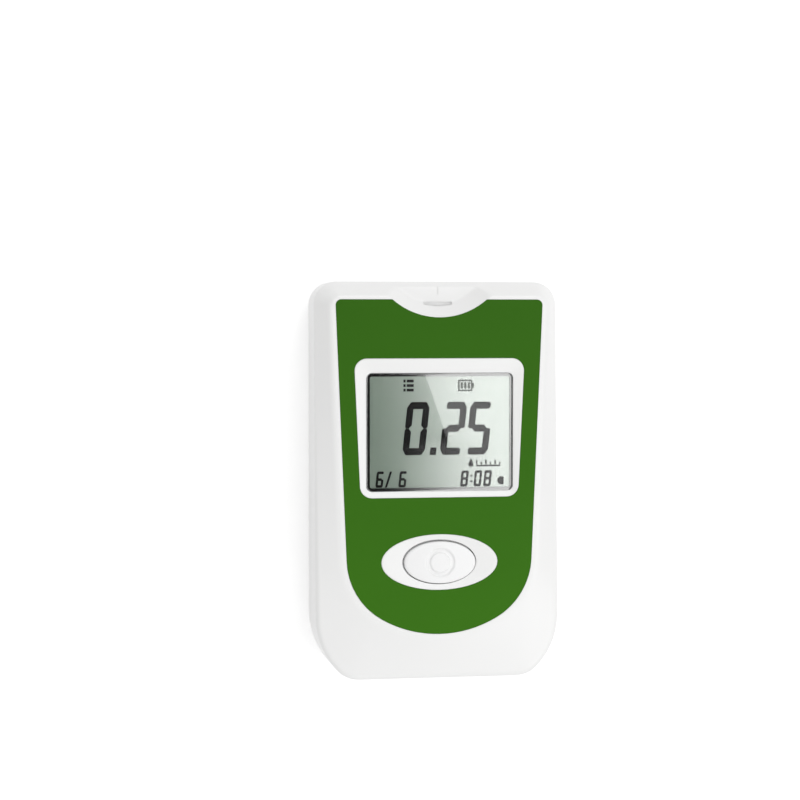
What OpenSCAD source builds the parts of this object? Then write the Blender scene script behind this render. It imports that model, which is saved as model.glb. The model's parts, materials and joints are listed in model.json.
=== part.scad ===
// Handheld uric acid meter, lying on its back with the strip slot at the +Y end.
// Two moulded shells close on a hollow that holds the board, the display and two AAA cells.
// Z is 0 at the back and case_t at the face, and the origin is the middle of the back.

/* [Casing] */
// Width of the casing
case_w = 56; // [55:0.5:60]
// Length of the casing
case_l = 90; // [89:0.5:95]
// Thickness of the casing
case_t = 20; // [20:0.25:22]
// Height of the parting line between the shells
parting_z = 8; // [7:0.25:9]
// Thickness of the side walls and of the back
wall = 1.8; // [1.5:0.1:2]
// Thickness of the front face
face_wall = 2; // [1.8:0.05:2.1]
// Radius of the two upper corners
top_r = 5.2; // [4:0.2:7]
// Radius of the two long lower bends
side_r = 17.3; // [15:0.1:19]
// Radius of the two short bends beside the lower end
heel_r = 6.7; // [5:0.1:8]
// How far each long lower bend turns, in degrees
side_turn = 45; // [40:1:50]
// How far the rim lies below the face at the upper end
rim_drop_top = 5.2; // [4:0.1:6]
// How far the rim lies below the face at the lower end
rim_drop_low = 1.5; // [1.2:0.1:2]
// Width of the rounding along the rim
edge_w = 1.4; // [1:0.1:2]
// Height of the rounding along the rim
edge_h = 0.9; // [0.6:0.1:1.1]
// Lean of the side walls between the parting line and the rim
rim_draft = 0.1; // [0.05:0.05:0.3]
// How far the flat back lies inside the outline
back_inset = 4; // [3:0.25:4.5]

/* [Face film] */
// Bare casing between the upper end and the film
film_gap = 4.1; // [3.6:0.1:5]
// Width of the film at its upper edge
film_w = 47.3; // [45:0.1:48]
// Narrowing of each side of the film per millimetre of length
film_taper = 0.0414; // [0:0.0001:0.05]
// Length of the straight sides of the film
film_straight = 58.2; // [57:0.1:59]
// Radius of the bends at the lower end of the film
film_end_r = 16; // [14:0.1:17]
// How far each of those bends turns, in degrees
film_end_turn = 60; // [55:1:65]
// Radius of the upper corners of the film
film_corner_r = 1.25; // [0.8:0.05:2]
// Thickness of the film
film_t = 0.25; // [0.2:0.01:0.4]
// Depth of the recess that holds the film
film_sink = 0.2; // [0.1:0.01:0.3]
// Flat face left round the film
film_margin = 1.5; // [1.2:0.1:2]
// Flat face left above the film
film_top_margin = 1.1; // [0.8:0.1:1.4]
// Gap round the film in its recess
film_play = 0.06; // [0.02:0.01:0.1]

/* [Window] */
// Width of the white window frame at its upper edge
frame_w = 38.84; // [37:0.02:40]
// Width of the white window frame at its lower edge
frame_low_w = 36.48; // [36:0.02:39]
// Length of the white window frame
frame_l = 31.4; // [31:0.1:33]
// Distance from the upper end to the middle of the window frame
frame_in = 33.04; // [32.6:0.01:33.4]
// Corner radius of the window frame
frame_r = 2.8; // [2:0.1:3.5]
// Width of the window lens
lens_w = 33.54; // [32:0.02:34]
// Length of the window lens
lens_l = 26.5; // [25:0.1:27]
// Distance from the upper end to the middle of the lens
lens_in = 33.85; // [33.5:0.01:34]
// Corner radius of the lens
lens_r = 1.3; // [0.8:0.1:2]
// Thickness of the lens
lens_t = 1.05; // [0.8:0.05:1.2]
// How far the lens lies below the face
lens_sink = 0.25; // [0.15:0.05:0.4]
// Width of the ledge that carries the lens
lens_ledge = 0.5; // [0.4:0.05:0.8]
// Gap round the lens
lens_play = 0.06; // [0.02:0.01:0.1]

/* [Main button] */
// Distance from the upper end to the middle of the oval button
button_in = 63.4; // [63:0.1:64]
// Half the width of the white oval round the button
dish_rx = 13.34; // [12.5:0.02:14]
// Half the length of the white oval round the button
dish_ry = 6.3; // [6:0.05:6.8]
// Depth of the dish beside the button
dish_depth = 0.5; // [0.3:0.05:0.7]
// Half the width of the button
button_rx = 8.25; // [7.5:0.05:8.6]
// Half the length of the button
button_ry = 4.8; // [4:0.05:5]
// Gap round the button
button_play = 0.25; // [0.2:0.01:0.3]
// How far the button stands above the face
button_rise = 0.2; // [0:0.05:0.6]
// Radius of the rounding along the button's upper edge
button_dome = 0.5; // [0.3:0.05:0.8]
// Width of the flange that keeps the button in
button_flange = 0.8; // [0.6:0.05:1.2]
// Thickness of that flange
flange_t = 0.9; // [0.7:0.05:1]
// Radius of the inner ring on the button
ring_r1 = 2.4; // [2:0.1:2.6]
// Radius of the outer ring on the button
ring_r2 = 3.4; // [3.2:0.1:3.8]
// Width of the ring grooves
ring_w = 0.2; // [0.1:0.05:0.3]
// Depth of the ring grooves
ring_depth = 0.08; // [0.04:0.01:0.15]
// Travel of both buttons
button_travel = 0.4; // [0.2:0.05:0.5]

/* [Strip scoop] */
// Radius of the scoop at the face
scoop_r = 16.5; // [15.5:0.1:17.5]
// Radius of the scoop at its floor
scoop_floor_r = 13.66; // [13:0.02:14.5]
// Depth of the scoop
scoop_depth = 3.2; // [3:0.05:3.4]
// How far the scoop's axis lies beyond the upper end
scoop_out = 8.4; // [8:0.1:9]
// Wall left round the scoop
scoop_wall = 1.9; // [1.6:0.1:2.2]
// Width of the strip slot
slot_w = 6.6; // [6:0.1:7.5]
// Height of the strip slot
slot_h = 0.8; // [0.6:0.05:0.9]

/* [Display] */
// Width of the display glass
lcd_w = 38; // [37:0.5:38.5]
// Length of the display glass
lcd_l = 31; // [30:0.5:31.5]
// Distance from the upper end to the middle of the display
lcd_in = 34; // [33.8:0.1:34.2]
// Thickness of the display, two plates of glass
lcd_t = 1.8; // [1.6:0.1:2]
// Thickness of the foam seal between display and face
seal_t = 0.3; // [0.25:0.05:0.4]
// Width of the foam seal
seal_w = 1.6; // [1.2:0.1:2]
// Height of the rubber strips that join display and board
rubber_h = 0.8; // [0.7:0.05:1]
// Width of the rubber strips
rubber_w = 1.4; // [1:0.1:1.6]
// Bare contact edge on the lower display glass
lcd_step = 1.5; // [1:0.1:1.8]
// Wall of the display holder
holder_wall = 1; // [0.8:0.1:1.2]

/* [Board] */
// Width of the circuit board
board_w = 45; // [44:0.5:46]
// Distance from the upper end to the circuit board
board_in = 10.5; // [10.2:0.1:11]
// Gap between the circuit board and the bosses of the lower case screws
board_low_gap = 0.6; // [0.3:0.1:1]
// Thickness of the circuit board
board_t = 1.2; // [1:0.1:1.3]
// Side of the processor
chip_w = 9; // [7:0.5:10]
// Height of the processor
chip_t = 1.2; // [1:0.1:1.6]
// Radius of the buzzer
buzzer_r = 6; // [5:0.25:6.25]
// Height of the buzzer
buzzer_h = 3; // [2.5:0.25:4]
// Radius of each sound hole
sound_r = 0.6; // [0.4:0.1:0.8]
// Side of the two switches
switch_w = 4.5; // [4:0.25:6]
// Height of the two switches
switch_h = 1.2; // [1:0.05:1.3]
// Radius of the switch pins
pin_r = 1; // [0.8:0.05:1.2]
// Radial gap round pins and stems
pin_play = 0.08; // [0.04:0.01:0.1]

/* [Set button] */
// Sideways place of the set button on the back
set_x = 14; // [13:0.5:15]
// Distance from the battery bay to the set button
set_up = 10.2; // [9:0.1:11]
// Radius of the set button
set_r = 1.5; // [1.2:0.05:1.8]
// How far the set button lies below the back
set_sink = 0.6; // [0.4:0.1:1]
// Wall of the tube that guides the set button
tube_wall = 1.2; // [0.8:0.1:1.4]
// Height of the tube that guides the set button
tube_h = 8; // [6:0.25:8.5]

/* [Batteries] */
// Diameter of each cell
cell_d = 10.5; // [10.2:0.05:10.5]
// Length of each cell
cell_l = 44.5; // [44:0.1:44.6]
// Distance between the axes of the cells
cell_pitch = 11.2; // [11:0.1:11.6]
// Radius of the positive end of a cell
nub_r = 1.9; // [1.6:0.1:2]
// Height of the positive end of a cell
nub_h = 0.8; // [0.7:0.1:1]
// Length of the contact springs with the cells in
spring_l = 3.9; // [3.6:0.1:4.1]
// Radius of a spring's first curl
spring_r0 = 4; // [3.6:0.1:4.4]
// Radius of a spring's last curl
spring_r1 = 2.2; // [1.9:0.1:2.4]
// Diameter of the spring wire
wire_d = 0.5; // [0.4:0.01:0.5]
// Curls in a spring
spring_curls = 3; // [2:1:3]
// Thickness of the contact plates
plate_t = 0.4; // [0.3:0.05:0.5]
// Thickness of the battery bay's walls
bay_wall = 1.2; // [1:0.1:1.4]
// Distance from the lower end of the casing to the battery bay
bay_inset = 4.4; // [4.2:0.1:4.6]

/* [Battery door] */
// Width of the battery door
door_w = 30; // [29:0.5:31]
// Length of the battery door
door_l = 49; // [46:0.5:50]
// Thickness of the battery door
door_t = 1.6; // [1.4:0.1:1.8]
// Height of the door's upturned end
door_end_h = 6; // [5:0.25:6.2]
// Gap round the door
door_play = 0.1; // [0.05:0.01:0.15]
// Gap above and below the door's tongues
tongue_play = 0.15; // [0.1:0.01:0.2]
// Thickness of the door's tongues
tongue_t = 1; // [0.8:0.05:1.2]
// How far the side tongues stand out beyond the door
tongue_out = 1; // [0.8:0.1:1.2]
// Depth of the thumb grip's grooves
grip_depth = 0.3; // [0.2:0.05:0.5]

/* [Screws] */
// Radius of the case screws
screw_r = 1; // [0.9:0.05:1.1]
// Radius of the case screws' heads
head_r = 1.8; // [1.6:0.05:1.9]
// Height of the case screws' heads
head_h = 1.3; // [1:0.1:1.5]
// Depth at which the case screws' heads sit
head_seat = 3.6; // [3:0.1:4]
// Length of the case screws below their heads
screw_l = 9.4; // [8:0.1:10]
// Radius of the screw bosses
boss_r = 2.6; // [2.4:0.05:2.7]
// Radius of the board screws
small_screw_r = 0.8; // [0.7:0.05:0.85]
// Radius of the board screws' heads
small_head_r = 1.6; // [1.4:0.05:1.7]
// Height of the board screws' heads
small_head_h = 1; // [0.8:0.1:1.1]
// Radius of the board posts
post_r = 2; // [1.8:0.05:2.1]
// Radial gap round a screw in its pilot hole
pilot_play = 0.05; // [0.03:0.01:0.08]

/* [Hidden] */

// Steps in each corner arc and in an ellipse
arc_n = 8;
ellipse_n = 48;
$fn = 48;
// Thickness of the plates that a hull spans, and how far a cut runs past a face
skin = 0.01;
cut = 0.5;
// Smallest radius that an inset corner keeps
min_r = 0.3;
// How far one shape reaches into another that it is moulded with
fuse = 0.6;

end_y = case_l / 2;
side_x = case_w / 2;

// Places along the casing, measured from its upper end
frame_y = end_y - frame_in;
lens_y = end_y - lens_in;
lcd_y = end_y - lcd_in;
button_y = end_y - button_in;
board_y1 = end_y - board_in;

// Levels from the face down to the board
inner_z = case_t - face_wall;
lens_z1 = case_t - lens_sink;
lens_z0 = lens_z1 - lens_t;
lcd_z1 = inner_z - seal_t;
lcd_z0 = lcd_z1 - lcd_t;
board_z1 = lcd_z0 - rubber_h;
board_z0 = board_z1 - board_t;
holder_shelf = 3;

// Face film
film_y1 = end_y - film_gap;
film_lean = atan(film_taper);
film_low_x = film_w / 2 - film_taper * film_straight;
film_bend_x = film_low_x - film_end_r;
film_bend_y = film_y1 - film_straight;
film_big_r = film_end_r + film_bend_x / cos(film_end_turn);
film_big_y = film_bend_y + (film_big_r - film_end_r) * sin(film_end_turn);

// Rim plane
rim_slope = (rim_drop_low - rim_drop_top) / case_l;
rim_mid_z = case_t - (rim_drop_top + rim_drop_low) / 2;

// Scoop and strip path
scoop_y = end_y + scoop_out;
scoop_z = case_t - scoop_depth;
scoop_lean = (scoop_r - scoop_floor_r) / scoop_depth;
scoop_floor_t = 1.8;
socket_gap = 0.25;
socket_w = 10;
socket_l = 7.3;
socket_roof = 1.1;
socket_top = scoop_z + socket_roof;
socket_back = 1.6;
socket_y1 = scoop_y - scoop_r - scoop_wall + scoop_lean * (case_t - socket_top) - socket_gap;
socket_y0 = socket_y1 - socket_l;
strip_w = 5.8;
strip_h = 0.6;
leaf_w = 0.8;
leaf_t = 0.25;
leaf_pitch = 2;
leaf_tail = 1.4;
leaf_bend = 1;
leaf_drop = 0.5;
leaf_top = scoop_z + leaf_t / 2;

// Main button and its switch
key_guide_t = 1;
dome_steps = 3;
key_top_z = case_t + button_rise;
stop_play = 0.05;
flange_z1 = inner_z - stop_play;
flange_z0 = flange_z1 - flange_t;
main_switch_z1 = board_z1 + switch_h;
pin_rest = 0.2;
pin_gap = button_travel + pin_rest;

// Set button and its switch
set_switch_z0 = board_z0 - switch_h;
set_stop_z = tube_h + stop_play;
set_flange_t = 1;
set_flange_w = 0.8;
set_pin_out = button_travel + pin_rest + stop_play;
set_button_z1 = set_switch_z0 - set_pin_out;

// Battery bay
cell_lift = 0.2;
cell_roof_gap = 0.2;
cell_side_gap = 0.45;
board_gap = 0.2;
cell_r = cell_d / 2;
cell_x = cell_pitch / 2;
cell_z = max(door_t, wall) + cell_lift + cell_r;
bay_x = cell_x + cell_r + cell_side_gap;
bay_y0 = -end_y + bay_inset;
bay_y1 = bay_y0 + 2 * plate_t + cell_l + spring_l;
bay_z0 = door_t + door_play;
roof_z0 = cell_z + cell_r + cell_roof_gap;
roof_z1 = board_z0 - board_gap;
plate_w = 8;
plate_h = 8.4;
tab_w = 2;
tab_play = 0.15;

// Battery door and its rails
door_x = door_w / 2;
door_y1 = -end_y + door_l;
tongue_web = 1.4;
tongue_x0 = door_x - tongue_web - door_play;
tongue_x1 = door_x + tongue_out;
tongue_z0 = wall + tongue_play;
tongue_z1 = tongue_z0 + tongue_t;
tongue_end_gap = 7;
tongue_lead = 2;
top_tongue_w = 3.6;
top_tongue_l = 1.8;
rail_z0 = tongue_z1 + tongue_play;
rail_t = 1.1;
rail_x0 = tongue_x1 + tongue_play;
rail_x1 = rail_x0 + bay_wall;
grip_n = 5;
grip_w = 12;
grip_pitch = 1.8;
grip_groove = 0.8;
grip_start = 3;

// Screw places
boss_gap = 0.3;
low_screw_x = rail_x1 + boss_gap + boss_r;
low_screw_in = 12;
low_screw_y = -end_y + low_screw_in;
top_screw_x = 21;
top_screw_in = 7.4;
top_screw_y = end_y - top_screw_in;
case_screw_at = [
    [low_screw_x, low_screw_y], [-low_screw_x, low_screw_y],
    [top_screw_x, top_screw_y], [-top_screw_x, top_screw_y]
];
board_y0 = low_screw_y + boss_r + board_low_gap;
board_screw_edge = 2.5;
board_screw_end = 4.5;
board_screw_low_edge = 3.5;
board_screw_low_end = 3;
board_screw_x = board_w / 2 - board_screw_edge;
board_screw_y1 = board_y1 - board_screw_end;
board_screw_low_x = board_w / 2 - board_screw_low_edge;
board_screw_y0 = board_y0 + board_screw_low_end;
board_screw_at = [
    [board_screw_x, board_screw_y1], [-board_screw_x, board_screw_y1],
    [board_screw_low_x, board_screw_y0], [-board_screw_low_x, board_screw_y0]
];
head_play = 0.15;
hole_play = 0.2;
small_pilot_end = 0.6;
recess_w = 0.5;
recess_part = 0.6;
lip_t = 0.8;
lip_h = 1.2;
lip_play = 0.1;

// Other pieces on the board, placed from the end of the battery bay
parts_y = bay_y1 + bay_wall;
set_y = parts_y + set_up;
chip_at = [1.5, parts_y + 6.7];
lead_n = 8;
lead_w = 0.4;
lead_out = 1;
lead_t = 0.2;
buzzer_at = [-12.2, parts_y + 7.2];
buzzer_hole_r = 1;
buzzer_hole_depth = 0.8;
sound_ring_r = 2.6;
sound_n = 6;
crystal_at = [-4, parts_y + 14.4];
crystal_r = 1.5;
crystal_l = 8;
chip_parts = [
    [[9.4, 2.2], [3.2, 1.6, 1.1]], [[9.4, 5], [2, 1.2, 0.8]], [[9.4, 7.8], [2, 1.2, 0.8]],
    [[8, 14], [4.2, 3.4, 1.5]], [[14, 14.6], [2, 1.2, 0.8]], [[18, 4], [1.2, 2, 0.8]],
    [[-10, 15], [2, 1.2, 0.8]], [[-20, 2], [1.6, 3.2, 1.1]]
];

// Rear label
label_w = 26;
label_l = 8.5;
label_in = 9.8;
label_y = end_y - label_in;
label_t = 0.15;
label_sink = 0.2;
label_r = 1;
label_play = 0.1;

shell_white = [0.93, 0.93, 0.92];
film_green = [0.23, 0.42, 0.12];
metal = [0.78, 0.78, 0.8];
dark = [0.13, 0.13, 0.14];

// Points along an arc
function arc(c, r, a0, a1, n = arc_n) =
    [for (i = [0:n]) let (a = a0 + (a1 - a0) * i / n) [c[0] + r * cos(a), c[1] + r * sin(a)]];

// The right half of an outline, from bottom to top, joined to its mirror image
function mirrored(half) = concat(
    half,
    [for (i = [len(half) - 1:-1:0]) if (half[i][0] > skin) [-half[i][0], half[i][1]]]
);

function ellipse_pts(rx, ry) =
    [for (i = [0:ellipse_n - 1]) let (a = 360 * i / ellipse_n) [rx * cos(a), ry * sin(a)]];

function round_rect_pts(w, l, r) = mirrored(concat(
    arc([w / 2 - r, -l / 2 + r], r, -90, 0),
    arc([w / 2 - r, l / 2 - r], r, 0, 90)
));

// Outline of the casing, drawn in by inset
function case_pts(inset) = let (
    corner = max(top_r - inset, min_r),
    heel = max(heel_r - inset, min_r),
    bend_x = side_x - side_r,
    bend_y = -end_y + heel_r + (side_r - heel_r) * sin(side_turn),
    heel_x = bend_x + (side_r - heel_r) * cos(side_turn)
) mirrored(concat(
    arc([heel_x, -end_y + inset + heel], heel, -90, -side_turn),
    arc([bend_x, bend_y], side_r - inset, -side_turn, 0),
    arc([side_x - inset - corner, end_y - inset - corner], corner, 0, 90)
));

// Outline of the face film, grown by side and, at its upper edge, by top
function film_pts(side, top) = let (
    corner = film_corner_r + max(side, top)
) mirrored(concat(
    arc([0, film_big_y], film_big_r + side, -90, -film_end_turn),
    arc([film_bend_x, film_bend_y], film_end_r + side, -film_end_turn, -film_lean),
    arc([film_w / 2 + side - corner, film_y1 + top - corner], corner, -film_lean, 90)
));

// Outline of the window frame, grown by grow
function frame_pts(grow) = let (
    r = frame_r + grow,
    low_x = frame_low_w / 2 + grow - r,
    top_x = frame_w / 2 + grow - r
) mirrored(concat(
    arc([low_x, frame_y - frame_l / 2 - grow + r], r, -90, 0),
    arc([top_x, frame_y + frame_l / 2 + grow - r], r, 0, 90)
));

// One thin plate with its lower side at z
module plate(points, z) {
    translate([0, 0, z]) linear_extrude(skin) polygon(points);
}

// A thin plate that follows the slope of the rim, lifted by lift
module sloped_plate(points, lift) {
    multmatrix([[1, 0, 0, 0], [0, 1, 0, 0], [0, rim_slope, 1, rim_mid_z + lift - skin], [0, 0, 0, 1]])
        linear_extrude(skin) polygon(points);
}

// Solid form of the front shell, drawn in by inset and lowered by drop
module front_form(inset, drop, base) {
    hull() {
        plate(case_pts(inset), base);
        sloped_plate(case_pts(inset + rim_draft), -drop);
        sloped_plate(case_pts(inset + edge_w), edge_h - drop);
        plate(film_pts(film_margin - inset, film_top_margin - inset), case_t - drop - skin);
    }
}

// Solid form of the rear shell, drawn in by inset and raised by lift
module rear_form(inset, lift, top) {
    steps = 5;
    hull() {
        for (i = [0:steps]) {
            z = parting_z * pow(i / steps, 2);
            rise = lift * (1 - i / steps);
            plate(case_pts(inset + back_inset * pow(1 - z / parting_z, 4)), min(z + rise, parting_z - skin));
        }
        plate(case_pts(inset), top - skin);
    }
}

module box(x0, x1, y0, y1, z0, z1) {
    translate([x0, y0, z0]) cube([x1 - x0, y1 - y0, z1 - z0]);
}

module both_sides() {
    children();
    mirror([1, 0, 0]) children();
}

module prism(points, z0, z1) {
    translate([0, 0, z0]) linear_extrude(z1 - z0) polygon(points);
}

module ring_groove(r, z) {
    translate([0, 0, z - ring_depth])
        rotate_extrude() translate([r - ring_w / 2, 0]) square([ring_w, ring_depth + cut]);
}

// Screw with its head's underside at z 0 and its shank along +Z
module screw(shank_r, shank_l, cap_r, cap_h) {
    difference() {
        union() {
            translate([0, 0, -cap_h]) cylinder(h = cap_h, r = cap_r);
            cylinder(h = shank_l, r = shank_r);
        }
        for (a = [0, 90]) {
            rotate(a) translate([-cap_r * recess_part, -recess_w / 2, -cap_h - cut])
                cube([2 * cap_r * recess_part, recess_w, cap_h / 2 + cut]);
        }
    }
}

// What stays solid inside the front shell: scoop, bosses, posts and the button's guide
module front_cores() {
    core_top = case_t;
    core_h = scoop_depth + scoop_floor_t;
    translate([0, scoop_y, case_t - core_h])
        cylinder(h = core_h, r1 = scoop_r + scoop_wall - scoop_lean * core_h, r2 = scoop_r + scoop_wall);
    for (p = case_screw_at) {
        translate([p[0], p[1], parting_z - 2 * cut]) cylinder(h = core_top - parting_z + 2 * cut, r = boss_r);
    }
    for (p = board_screw_at) {
        translate([p[0], p[1], board_z1]) cylinder(h = core_top - board_z1, r = post_r);
    }
    guide_rx = button_rx + button_flange + button_play;
    guide_ry = button_ry + button_flange + button_play;
    translate([0, button_y, flange_z0]) linear_extrude(core_top - flange_z0) difference() {
        polygon(ellipse_pts(guide_rx + key_guide_t, guide_ry + key_guide_t));
        polygon(ellipse_pts(guide_rx, guide_ry));
    }
}

// The recess for the film, with the window frame and the oval left standing
module film_recess() {
    difference() {
        prism(film_pts(film_play, film_play), case_t - film_sink, case_t + cut);
        prism(frame_pts(0), case_t - film_t, case_t + 2 * cut);
        translate([0, button_y, 0]) prism(ellipse_pts(dish_rx, dish_ry), case_t - film_t, case_t + 2 * cut);
    }
}

module window_cuts() {
    translate([0, lens_y, 0]) {
        prism(round_rect_pts(lens_w, lens_l, lens_r), lens_z0, case_t + cut);
        prism(
            round_rect_pts(lens_w - 2 * lens_ledge, lens_l - 2 * lens_ledge, lens_r - lens_ledge),
            inner_z - cut, case_t
        );
    }
    hull() {
        plate(frame_pts(-min_r), case_t);
        translate([0, lens_y, 0]) plate(round_rect_pts(lens_w, lens_l, lens_r), lens_z1);
    }
}

module button_cuts() {
    hole_rx = button_rx + button_play;
    hole_ry = button_ry + button_play;
    translate([0, button_y, 0]) {
        prism(ellipse_pts(hole_rx, hole_ry), inner_z - cut, case_t + cut);
        hull() {
            plate(ellipse_pts(dish_rx - min_r, dish_ry - min_r), case_t);
            plate(ellipse_pts(hole_rx + skin, hole_ry + skin), case_t - dish_depth);
        }
    }
}

module front_cover() {
    color(shell_white) difference() {
        front_form(0, 0, parting_z);
        difference() {
            front_form(wall, face_wall, parting_z - cut);
            front_cores();
        }
        film_recess();
        window_cuts();
        button_cuts();
        translate([0, scoop_y, scoop_z])
            cylinder(h = scoop_depth + cut, r1 = scoop_floor_r, r2 = scoop_r + scoop_lean * cut, $fn = 96);
        box(-slot_w / 2, slot_w / 2, socket_y1 - cut, scoop_y - scoop_floor_r + cut, scoop_z, scoop_z + slot_h);
        for (p = case_screw_at) {
            translate([p[0], p[1], parting_z - cut])
                cylinder(h = head_seat + screw_l - parting_z + 2 * cut, r = screw_r + pilot_play);
        }
        for (p = board_screw_at) {
            translate([p[0], p[1], board_z1 - cut])
                cylinder(h = inner_z - small_pilot_end - board_z1 + cut, r = small_screw_r + pilot_play);
        }
    }
}

// Box round the two cells, open towards the battery door, with its end wall clear of the door's path
module battery_bay() {
    x1 = bay_x + bay_wall;
    difference() {
        union() {
            box(-x1, x1, bay_y0 - bay_wall, bay_y1 + bay_wall, bay_z0, roof_z1);
            box(-x1, x1, bay_y1 - fuse, bay_y1 + bay_wall, wall - fuse, roof_z1);
            both_sides() {
                box(bay_x, rail_x1, bay_y0, bay_y1, rail_z0, rail_z0 + rail_t);
                box(rail_x0, rail_x1, bay_y0, bay_y1, wall - fuse, rail_z0 + rail_t);
            }
        }
        box(-bay_x, bay_x, bay_y0, bay_y1, wall, roof_z0);
        box(-bay_x, bay_x, bay_y0, door_y1, bay_z0 - cut, roof_z0);
        box(-x1 - cut, x1 + cut, bay_y0 - bay_wall - cut, bay_y0 + cut, bay_z0 - cut, rail_z0);
        both_sides() {
            box(
                cell_x - tab_w / 2 - tab_play, cell_x + tab_w / 2 + tab_play,
                bay_y1 - plate_t - tab_play, bay_y1 + tab_play, roof_z0 - cut, roof_z1 + cut
            );
        }
    }
}

module rear_shell() {
    difference() {
        rear_form(0, 0, parting_z);
        difference() {
            rear_form(wall, wall, parting_z + cut);
            for (p = case_screw_at) {
                translate([p[0], p[1], 0]) cylinder(h = parting_z, r = boss_r);
            }
            translate([set_x, set_y, 0]) cylinder(h = tube_h, r = set_r + pin_play + tube_wall);
        }
        box(
            -door_x - door_play, door_x + door_play, -end_y - cut, door_y1 + door_play,
            -cut, door_end_h + door_play
        );
    }
}

// Raised lip that centres the front shell
module shell_lip() {
    difference() {
        union() {
            prism(case_pts(wall - fuse / 2), parting_z - lip_h, parting_z);
            prism(case_pts(wall + lip_play), parting_z - lip_h, parting_z + lip_h);
        }
        prism(case_pts(wall + lip_play + lip_t), parting_z - lip_h - cut, parting_z + lip_h + cut);
    }
}

module rear_cover() {
    color(shell_white) difference() {
        union() {
            rear_shell();
            shell_lip();
            battery_bay();
        }
        for (p = case_screw_at) {
            translate([p[0], p[1], -cut]) cylinder(h = head_seat + cut, r = head_r + head_play);
            translate([p[0], p[1], head_seat - cut]) cylinder(h = parting_z, r = screw_r + head_play);
        }
        translate([set_x, set_y, -cut]) cylinder(h = tube_h + 2 * cut, r = set_r + pin_play);
        translate([buzzer_at[0], buzzer_at[1], -cut]) {
            cylinder(h = wall + 2 * cut, r = sound_r);
            for (i = [0:sound_n - 1]) {
                rotate(360 * i / sound_n) translate([sound_ring_r, 0, 0])
                    cylinder(h = wall + 2 * cut, r = sound_r);
            }
        }
        both_sides() {
            box(tongue_x0 - tongue_play, rail_x0, -end_y - cut, bay_y0 + cut, wall, rail_z0);
        }
        translate([0, label_y, 0])
            prism(round_rect_pts(label_w + 2 * label_play, label_l + 2 * label_play, label_r), -cut, label_sink);
    }
}

module face_film() {
    color(film_green) difference() {
        prism(film_pts(0, 0), case_t - film_sink, case_t - film_sink + film_t);
        translate([0, scoop_y, case_t - film_sink - cut]) cylinder(h = film_t + 2 * cut, r = scoop_r, $fn = 96);
        prism(frame_pts(film_play), case_t - film_sink - cut, case_t + cut);
        translate([0, button_y, 0])
            prism(ellipse_pts(dish_rx + film_play, dish_ry + film_play), case_t - film_sink - cut, case_t + cut);
    }
}

module window_lens() {
    color([0.75, 0.8, 0.8, 0.5]) translate([0, lens_y, 0])
        prism(round_rect_pts(lens_w - 2 * lens_play, lens_l - 2 * lens_play, lens_r - lens_play), lens_z0, lens_z1);
}

module window_seal() {
    opening_w = lens_w - 2 * lens_ledge + 2 * min_r;
    opening_l = lens_l - 2 * lens_ledge + 2 * min_r;
    color(dark) translate([0, lens_y, 0]) difference() {
        prism(round_rect_pts(opening_w + 2 * seal_w, opening_l + 2 * seal_w, lens_r), lcd_z1, inner_z);
        prism(round_rect_pts(opening_w, opening_l, lens_r), lcd_z1 - cut, inner_z + cut);
    }
}

module lcd_cell() {
    color([0.55, 0.62, 0.57]) {
        box(-lcd_w / 2, lcd_w / 2, lcd_y - lcd_l / 2, lcd_y + lcd_l / 2, lcd_z0, lcd_z0 + lcd_t / 2);
        box(
            -lcd_w / 2, lcd_w / 2, lcd_y - lcd_l / 2 + lcd_step, lcd_y + lcd_l / 2 - lcd_step,
            lcd_z0 + lcd_t / 2, lcd_z1
        );
    }
}

// The two rubber strips, or the slots for them when grown by play
module rubber_strips(play, z0, z1) {
    strip_x = lcd_w / 2 - holder_wall - play;
    inset = lcd_step / 2;
    for (y = [lcd_y - lcd_l / 2 + inset, lcd_y + lcd_l / 2 - inset]) {
        box(
            -strip_x + rubber_w - 2 * play, strip_x - rubber_w + 2 * play,
            y - rubber_w / 2 - play, y + rubber_w / 2 + play, z0, z1
        );
    }
}

module lcd_holder() {
    play = 0.1;
    x0 = lcd_w / 2 + play;
    y0 = lcd_l / 2 + play;
    color([0.85, 0.85, 0.82]) difference() {
        box(
            -x0 - holder_wall, x0 + holder_wall, lcd_y - y0 - holder_wall, lcd_y + y0 + holder_wall,
            board_z1, lcd_z1
        );
        box(-x0, x0, lcd_y - y0, lcd_y + y0, lcd_z0, lcd_z1 + cut);
        rubber_strips(play, board_z1 - cut, lcd_z0 + cut);
        box(
            -x0 + holder_shelf, x0 - holder_shelf, lcd_y - y0 + holder_shelf,
            lcd_y + y0 - holder_shelf, board_z1 - cut, lcd_z0 + cut
        );
    }
}

module lcd_connectors() {
    color([0.9, 0.55, 0.6]) rubber_strips(0, board_z1, lcd_z0);
}

module circuit_board() {
    color([0.1, 0.35, 0.2]) difference() {
        box(-board_w / 2, board_w / 2, board_y0, board_y1, board_z0, board_z1);
        for (p = board_screw_at) {
            translate([p[0], p[1], board_z0 - cut]) cylinder(h = board_t + 2 * cut, r = small_screw_r + hole_play);
        }
    }
}

module processor() {
    color(dark) translate([chip_at[0], chip_at[1], 0])
        box(-chip_w / 2, chip_w / 2, -chip_w / 2, chip_w / 2, board_z0 - chip_t, board_z0);
    color(metal) translate([chip_at[0], chip_at[1], 0]) for (a = [0:90:270], i = [0:lead_n - 1]) {
        along = (i - (lead_n - 1) / 2) * (chip_w - 2 * lead_w) / lead_n;
        rotate(a) box(chip_w / 2 - lead_w, chip_w / 2 + lead_out, along - lead_w / 2, along + lead_w / 2, board_z0 - lead_t, board_z0);
    }
}

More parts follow.
